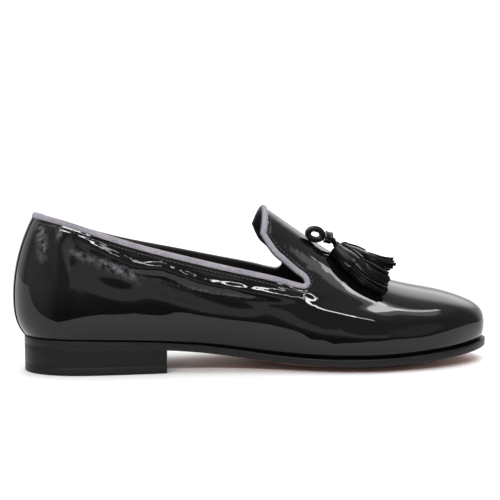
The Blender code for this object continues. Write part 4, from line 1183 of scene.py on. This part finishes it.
around = ring_turns(LOOP_SIDES)
loop_thick = squared(np.cos(around))[:, None] * LOOP_HALF_THICK
loop_wide = squared(np.sin(around))[:, None] * LOOP_HALF_WIDE
loop_sections = []
for turn in ring_turns(LOOP_SECTIONS):
    spoke = (loop_along * math.cos(turn) * (0.5 * LOOP_LENGTH - LOOP_HALF_THICK)
             + loop_out * math.sin(turn) * (0.5 * LOOP_HEIGHT - LOOP_HALF_THICK))
    loop_sections.append(loop_centre + spoke + unit(spoke) * loop_thick + sideways * loop_wide)
loop_points, loop_faces = swept(loop_sections, True)
loop_raise = LOOP_CLEARANCE - min(point[2] - under(*point[:2])[0][2] for point in loop_points)
loop_shift = np.array((0.0, 0.0, loop_raise))
tassel_loop = make_piece("tassel_loop", loop_points + loop_shift, loop_faces, [loop_calf.material])
turned_out(tassel_loop)
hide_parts("tassel_ring")
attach(tassel_loop, "root")

around = ring_turns(KEEPER_SIDES)
keeper_start = loop_centre + loop_shift + loop_along * (0.5 * LOOP_LENGTH - KEEPER_TUCK)
keeper_ring = (sideways * np.cos(around)[:, None] * KEEPER_HALF_WIDE
               + loop_out * np.sin(around)[:, None] * KEEPER_HALF_HIGH)
keeper_rings = [keeper_start + loop_along * row.share * KEEPER_LENGTH + keeper_ring * row.girth
                for row in KEEPER_GIRTHS]
keeper = make_piece("tassel_band", *swept(keeper_rings, False), [loop_calf.material])
turned_out(keeper)
sharp_edges(keeper, KEEPER_CREASE)
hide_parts("tassel_keeper")
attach(keeper, "root")


# Tassels
# Two strips of black calf, cut into a fringe and rolled up tight round their cords; the roll's uncut edge
# is the head, wrapped once more so that its end shows as a step.  The strips spread where they leave it.
TASSEL_HEAD = 18.0
TASSEL_CREASE = 60
HEAD_LEATHER = 0.9
HEAD_NOSE = 3.0
HEAD_NOSE_STEPS = 10
HEAD_STEPS = 26
HEAD_SIDES = 56
HEAD_WRAP_START = 2.0
STRIP_ROOT = 4.0
STRIP_WIDE = 2.25
STRIP_THICK = 0.95
STRIP_STEPS = 16
CORD_RADIUS = 1.45
CORD_BAND = 0.5
CORD_BAND_PLACES = (0.22, 0.62)
CORD_BAND_WIDTH = 0.075
CORD_END_ALONG = 1.6
CORD_STEPS = 36
CORD_SIDES = 16
SPINE_STEPS = 80
SPINE_NEARBY = 0.4

# Each tassel: route of its middle over the vamp in plan, length of the whole, height of its underside
# over the patent and what that gains at the tips, whether it follows the patent sideways, turn of the
# roll's edge, where its cord leaves the keeper and meets the head, sideways, and the seed of its disorder
Tassel = namedtuple("Tassel", "route length lift rise draped seam cord_start cord_end seed")
TASSELS = {
    "tassel_medial": Tassel(
        ((195, -10.5), (208, -20.5), (228, -25)), 40.5, 0.35, 0.0, True, 75, -1.7, 2.6, 4),
    "tassel_lateral": Tassel(
        ((199.5, 0.5), (216, 3.5), (238, 7)), 38.0, 0.9, 4.2, False, 100, 1.7, -1.0, 9),
}

# Half width and half height of a tassel along its length in mm
Girth = namedtuple("Girth", "far wide high")
TASSEL_GIRTHS = [
    Girth(0.0, 2.4, 2.2), Girth(1.0, 5.0, 3.8), Girth(3.0, 6.6, 4.6), Girth(9.0, 9.0, 5.2),
    Girth(18.0, 10.8, 5.3), Girth(28.0, 12.0, 4.8), Girth(42.0, 12.8, 4.0),
]

# Rings of strips from the outside in: how many, and their share of the girth
StripRing = namedtuple("StripRing", "count share")
STRIP_RINGS = [StripRing(25, 0.90), StripRing(17, 0.62), StripRing(9, 0.32)]

# Section of a strip in half widths and half thicknesses, a little cupped
STRIP_SECTION = np.array([
    (-1.0, -0.55), (-0.86, -1.0), (0.0, -0.72), (0.86, -1.0), (1.0, -0.55), (1.0, 0.55), (0.86, 1.0),
    (0.0, 0.78), (-0.86, 1.0), (-1.0, 0.55),
])

# Disorder of the strips: place in the ring, shortest and longest end in mm, bend up and sideways in mm,
# twist and the slant of the cut end
STRIP_PLACE = 0.18
STRIP_ENDS = (-2.2, 1.0)
STRIP_CURL = 0.5
STRIP_STRAY = 0.7
STRIP_TWIST = 0.35
STRIP_SLANT = 0.5

# The strips leave the head drawn in to a share of their ring and reach it on the way to the tips; the top
# ones lie in a little, and none lies lower over the patent than a least height
STRIP_DRAWN_IN = 0.86
STRIP_SPREAD_BY = 0.3
STRIP_BEDDED = 0.2
STRIP_LEAST_HEIGHT = 0.55

# The front rim of the head: back from its end, and in from its face
RimPoint = namedtuple("RimPoint", "back inward")
RIM = [
    RimPoint(0.5, 0.0), RimPoint(0.18, 0.08), RimPoint(0.0, 0.35), RimPoint(0.05, 0.75),
    RimPoint(0.6, 0.9), RimPoint(3.0, 0.9),
]

girth_at = smooth_curve([row.far for row in TASSEL_GIRTHS], [(row.wide, row.high) for row in TASSEL_GIRTHS])


class Spine:
    """The middle line of a tassel over the vamp, from which places beside and above it are found."""

    def __init__(self, tassel):
        self.tassel = tassel
        route = np.array(tassel.route, float)
        reach = np.concatenate(([0.0], np.cumsum(np.linalg.norm(np.diff(route, axis=0), axis=1))))
        plan = smooth_curve(reach, route)(np.linspace(0.0, reach[-1], SPINE_STEPS))
        found = [under(x, y) for x, y in plan]
        self.line = self.eased(np.array([spot for spot, _ in found]))
        self.up = unit(self.eased(np.array([normal for _, normal in found])))
        self.far = np.concatenate(([0.0], np.cumsum(np.linalg.norm(np.diff(self.line, axis=0), axis=1))))

    def eased(self, values, rounds=60):
        """Values along an open line, each averaged with its neighbours."""
        for _ in range(rounds):
            values = np.concatenate((values[:1], 0.5 * values[1:-1] + 0.25 * (values[:-2] + values[2:]),
                                     values[-1:]))
        return values

    def at(self, far):
        """Points of the line at distances along it, with headings and normals."""
        far = np.asarray(far, float)
        here, ahead, behind = (
            np.stack([np.interp(np.clip(far + step, 0.0, self.far[-1]), self.far, self.line[:, k])
                      for k in range(3)], -1) for step in (0.0, SPINE_NEARBY, -SPINE_NEARBY))
        up = np.stack([np.interp(far, self.far, self.up[:, k]) for k in range(3)], -1)
        along = unit(ahead - behind)
        over = np.maximum(0.0, far - self.far[-1])[..., None]
        return here + along * over, along, unit(up - along * np.sum(up * along, -1, keepdims=True))

    def spot(self, far, beside, above):
        """Places at distances along the line, beside it and above the tassel's underside."""
        here, along, up = self.at(far)
        side = np.cross(up, along)
        flat = here + side * np.asarray(beside)[..., None]
        if self.tassel.draped:
            flat = on_skin(flat.reshape(-1, 3))[0].reshape(flat.shape)
        lift = self.tassel.lift + self.tassel.rise * (np.asarray(far) / self.tassel.length) ** 3
        return flat + up * (lift + above)[..., None]


def head_bar(spine):
    """The rolled head, its wrapped edge standing as a step along it."""
    wrap = np.linspace(0.0, 1.0, HEAD_SIDES)
    turn = math.radians(spine.tassel.seam) + 2.0 * math.pi * wrap
    nose = np.linspace(0.0, HEAD_NOSE, HEAD_NOSE_STEPS)
    body = np.linspace(HEAD_NOSE, TASSEL_HEAD - RIM[0].back, HEAD_STEPS)[1:-1]
    rows = [(far, 0.0) for far in (*nose, *body)]
    rows += [(TASSEL_HEAD - point.back, point.inward) for point in RIM]
    rings = []
    for far, inward in rows:
        wide, high = girth_at(far)
        swell = HEAD_LEATHER * (wrap - 0.5) * min(1.0, far / HEAD_WRAP_START) - inward
        beside = (wide + swell) * np.cos(turn)
        above = high + (high + swell) * np.sin(turn)
        rings.append(spine.spot(np.full(HEAD_SIDES, far), beside, above))
    return swept(rings, False)


def strip_bars(spine):
    """The strips of the fringe, ring by ring, each with its own length, bend and twist."""
    chance = np.random.default_rng(spine.tassel.seed)
    section = STRIP_SECTION * (0.5 * STRIP_WIDE, 0.5 * STRIP_THICK)
    bars = []
    for ring in STRIP_RINGS:
        for k in range(ring.count):
            turn = 2.0 * math.pi * (k + 0.5 + chance.uniform(-STRIP_PLACE, STRIP_PLACE)) / ring.count
            end = spine.tassel.length + chance.uniform(*STRIP_ENDS)
            curl = chance.normal(0.0, STRIP_CURL)
            stray = chance.normal(0.0, STRIP_STRAY)
            twist = chance.normal(0.0, STRIP_TWIST)
            slant = chance.uniform(-STRIP_SLANT, STRIP_SLANT)
            far = np.linspace(TASSEL_HEAD - STRIP_ROOT, end, STRIP_STEPS)
            loose = np.clip((far - TASSEL_HEAD) / (end - TASSEL_HEAD), 0.0, 1.0)
            wide, high = girth_at(far).T
            spread = np.minimum(1.0, STRIP_DRAWN_IN + (1.0 - STRIP_DRAWN_IN) * loose / STRIP_SPREAD_BY)
            share = ring.share * spread
            beside = wide * share * math.cos(turn) + stray * loose ** 2
            above = high + (high * share - STRIP_BEDDED) * math.sin(turn) + curl * loose ** 2
            middle = spine.spot(far, beside, np.maximum(above, STRIP_LEAST_HEIGHT))
            _, along, up = spine.at(far)
            side = np.cross(up, along)
            lean = np.arctan2(wide * math.cos(turn), -high * math.sin(turn)) + twist * loose
            broad = side * np.cos(lean)[:, None] + up * np.sin(lean)[:, None]
            thin = unit(np.cross(along, broad))
            rings = (middle[:, None] + broad[:, None] * section[None, :, :1]
                     + thin[:, None] * section[None, :, 1:])
            rings[-1] += along[-1] * section[:, :1] * slant
            bars.append(swept(rings, False))
    return bars


def cord_bar(start, end):
    """The cord between keeper and head, bound twice."""
    share = np.linspace(0.0, 1.0, CORD_STEPS)
    line = start + (end - start) * share[:, None]
    along = unit(end - start)
    across = unit(np.cross(along, sideways))
    beside = np.cross(across, along)
    band = sum(np.exp(-((share - middle) / CORD_BAND_WIDTH) ** 4) for middle in CORD_BAND_PLACES)
    radius = CORD_RADIUS + CORD_BAND * band
    around = ring_turns(CORD_SIDES)
    rim = across * np.cos(around)[:, None] + beside * np.sin(around)[:, None]
    return swept(line[:, None] + rim[None] * radius[:, None, None], False)


def joined(bars):
    """One set of points and faces from several."""
    points = []
    faces = []
    shift = 0
    for bar_points, bar_faces in bars:
        points.append(bar_points)
        faces += [[k + shift for k in face] for face in bar_faces]
        shift += len(bar_points)
    return np.concatenate(points), faces


tassel_calf = calf_finish("tassel_calf", 1.20, 0.07, 0.05)
keeper_end = keeper_start + loop_along * (KEEPER_LENGTH - KEEPER_TUCK)
for name, tassel in TASSELS.items():
    spine = Spine(tassel)
    cord_end = spine.spot(np.array([CORD_END_ALONG]), np.array([tassel.cord_end]),
                          girth_at(np.array([CORD_END_ALONG]))[:, 1])[0]
    cord = cord_bar(keeper_end + sideways * tassel.cord_start, cord_end)
    bars = [head_bar(spine), *strip_bars(spine), cord]
    piece = make_piece(name + "_calf", *joined(bars), [tassel_calf.material])
    turned_out(piece)
    sharp_edges(piece, TASSEL_CREASE)
    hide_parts(name)
    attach(piece, "root")


# Studio
# A pale floor that runs on behind, and air that glows softly all round, dim in front and white behind, with
# thin strip lights overhead.  The patent mirrors all of them.
def flat_card(name, corners, finish):
    """A flat sheet of the studio with the given corners."""
    mesh = bpy.data.meshes.new(name)
    mesh.from_pydata(corners, [], [range(len(corners))])
    mesh.materials.append(finish)
    card = bpy.data.objects.new(name, mesh)
    bpy.context.scene.collection.objects.link(card)
    return card


floor_paper = Finish("floor_paper", Base_Color=(0.86, 0.86, 0.86, 1.0), Roughness=0.55)

# In front, the white paper that the patent mirrors ends close to the shoe, along this edge in metres; the
# floor beyond it isn't mirrored
FLOOR_REACH = 4.0
FLOOR_BACK = 5.0
PAPER_FRONT = [(-FLOOR_REACH, -0.09), (-0.168, -0.092), (-0.09, -0.23), (-0.048, -0.24), (-0.02, -0.18),
               (0.011, -0.105), (0.06, -0.10), (0.12, -0.125), (0.25, -0.11), (FLOOR_REACH, -0.11)]
paper_edge = [(x, y, 0.0) for x, y in PAPER_FRONT]
back_edge = [(FLOOR_REACH, FLOOR_BACK, 0.0), (-FLOOR_REACH, FLOOR_BACK, 0.0)]
front_edge = [(-FLOOR_REACH, -FLOOR_REACH, 0.0), (FLOOR_REACH, -FLOOR_REACH, 0.0)]
flat_card("floor", paper_edge + back_edge, floor_paper.material)
floor_front = flat_card("floor_front", front_edge + paper_edge[::-1], floor_paper.material)
floor_front.visible_glossy = False

# The air round the shoe brightens along its axes: from the floor up, towards the back, and twice overhead
AIR_LEAST = 0.04
AirRise = namedtuple("AirRise", "axis start full gain")
AIR_RISES = [
    AirRise("Z", -0.22, 0.05, 0.26), AirRise("Y", 0.2, 0.55, 0.77), AirRise("Z", 0.55, 0.85, 0.35),
    AirRise("Z", 0.90, 0.97, 4.0),
]

# Soft glows of large diffusers, in degrees.  Azimuth 0 is in front of the inner side, 90 at the toe; a glow
# fades from its inner to its outer angle.
Glow = namedtuple("Glow", "azimuth elevation inner outer gain")
GLOWS = [
    Glow(-70, 8, 10, 42, 0.4), Glow(-20, 15, 3, 12, 0.9), Glow(40, 14, 4, 20, 0.3),
    Glow(148, 37, 5, 23, 2.4), Glow(72, 60, 7, 12, 2.0),
]

# Thin strip lights overhead and a faint broad one low in front, each a band between two headings (azimuth,
# elevation) that is full over a share of its width and fades at its ends
StripLight = namedtuple("StripLight", "start end half_width gain")
STRIP_LIGHTS = [
    StripLight((-45, 34), (11, 36.6), 2.3, 34.0), StripLight((11, 36.6), (21, 37), 2.3, 13.0),
    StripLight((60, 64), (77, 62.6), 1.6, 14.0), StripLight((77, 62.6), (96, 55.5), 2.6, 9.0),
    StripLight((-17, 6), (24, 5), 8.0, 0.6),
]
STRIP_LIGHT_FULL = 0.6
STRIP_LIGHT_FADE = 0.002


def air_heading(azimuth, elevation):
    """Unit direction to a place in the air, from degrees."""
    turn = math.radians(azimuth)
    rise = math.radians(elevation)
    return Vector((math.sin(turn) * math.cos(rise), -math.cos(turn) * math.cos(rise), math.sin(rise)))


world = bpy.data.worlds.new("studio")
world.use_nodes = True
bpy.context.scene.world = world
air = Graph(world.node_tree)
ray = air.place("Generated")
axes = air.node("ShaderNodeSeparateXYZ", None, {"Vector": ray})
shine = AIR_LEAST
for rise in AIR_RISES:
    shine = shine + air.grade(axes[rise.axis], rise.start, rise.full) * rise.gain
for glow in GLOWS:
    facing = air.dot(ray, air_heading(glow.azimuth, glow.elevation))
    shine = shine + air.grade(facing, math.cos(math.radians(glow.outer)),
                              math.cos(math.radians(glow.inner))) * glow.gain
for light in STRIP_LIGHTS:
    first = air_heading(*light.start)
    last = air_heading(*light.end)
    beside = first.cross(last).normalized()
    middle = (first + last).normalized()
    reach = middle.dot(first)
    half = math.sin(math.radians(light.half_width))
    across = air.grade(air.size(air.dot(ray, beside)), half, STRIP_LIGHT_FULL * half)
    along = air.grade(air.dot(ray, middle), reach - STRIP_LIGHT_FADE, reach)
    shine = shine + across * along * light.gain
backdrop = world.node_tree.nodes["Background"]
backdrop.inputs["Color"].default_value = (1.0, 1.0, 1.0, 1.0)
air.feed(backdrop.inputs["Strength"], shine)

# Camera at the photograph's angle: a little above the shoe's inner side, turned slightly to the heel
VIEW_TARGET = Vector((0.0011, -0.0026, 0.045))
VIEW_FROM = Vector((-0.15491, -0.97808, 0.13917))
VIEW_DISTANCE = 1.1
VIEW_RISE = 0.0258
VIEW_SHIFT = -0.0030
LENS_MM = 127.2
SENSOR_MM = 36.0
NEAREST = 0.01
lens = bpy.data.cameras.new("camera")
lens.lens = LENS_MM
lens.sensor_width = SENSOR_MM
lens.clip_start = NEAREST
camera = bpy.data.objects.new("camera", lens)
camera.location = VIEW_TARGET + VIEW_FROM * VIEW_DISTANCE
right = (-VIEW_FROM).cross(Vector((0.0, 0.0, 1.0))).normalized()
above = right.cross(-VIEW_FROM).normalized()
aim = VIEW_TARGET + above * VIEW_RISE + right * VIEW_SHIFT
camera.rotation_euler = (aim - camera.location).to_track_quat("-Z", "Y").to_euler()
bpy.context.scene.collection.objects.link(camera)
bpy.context.scene.camera = camera
bpy.context.scene.view_settings.view_transform = "Standard"
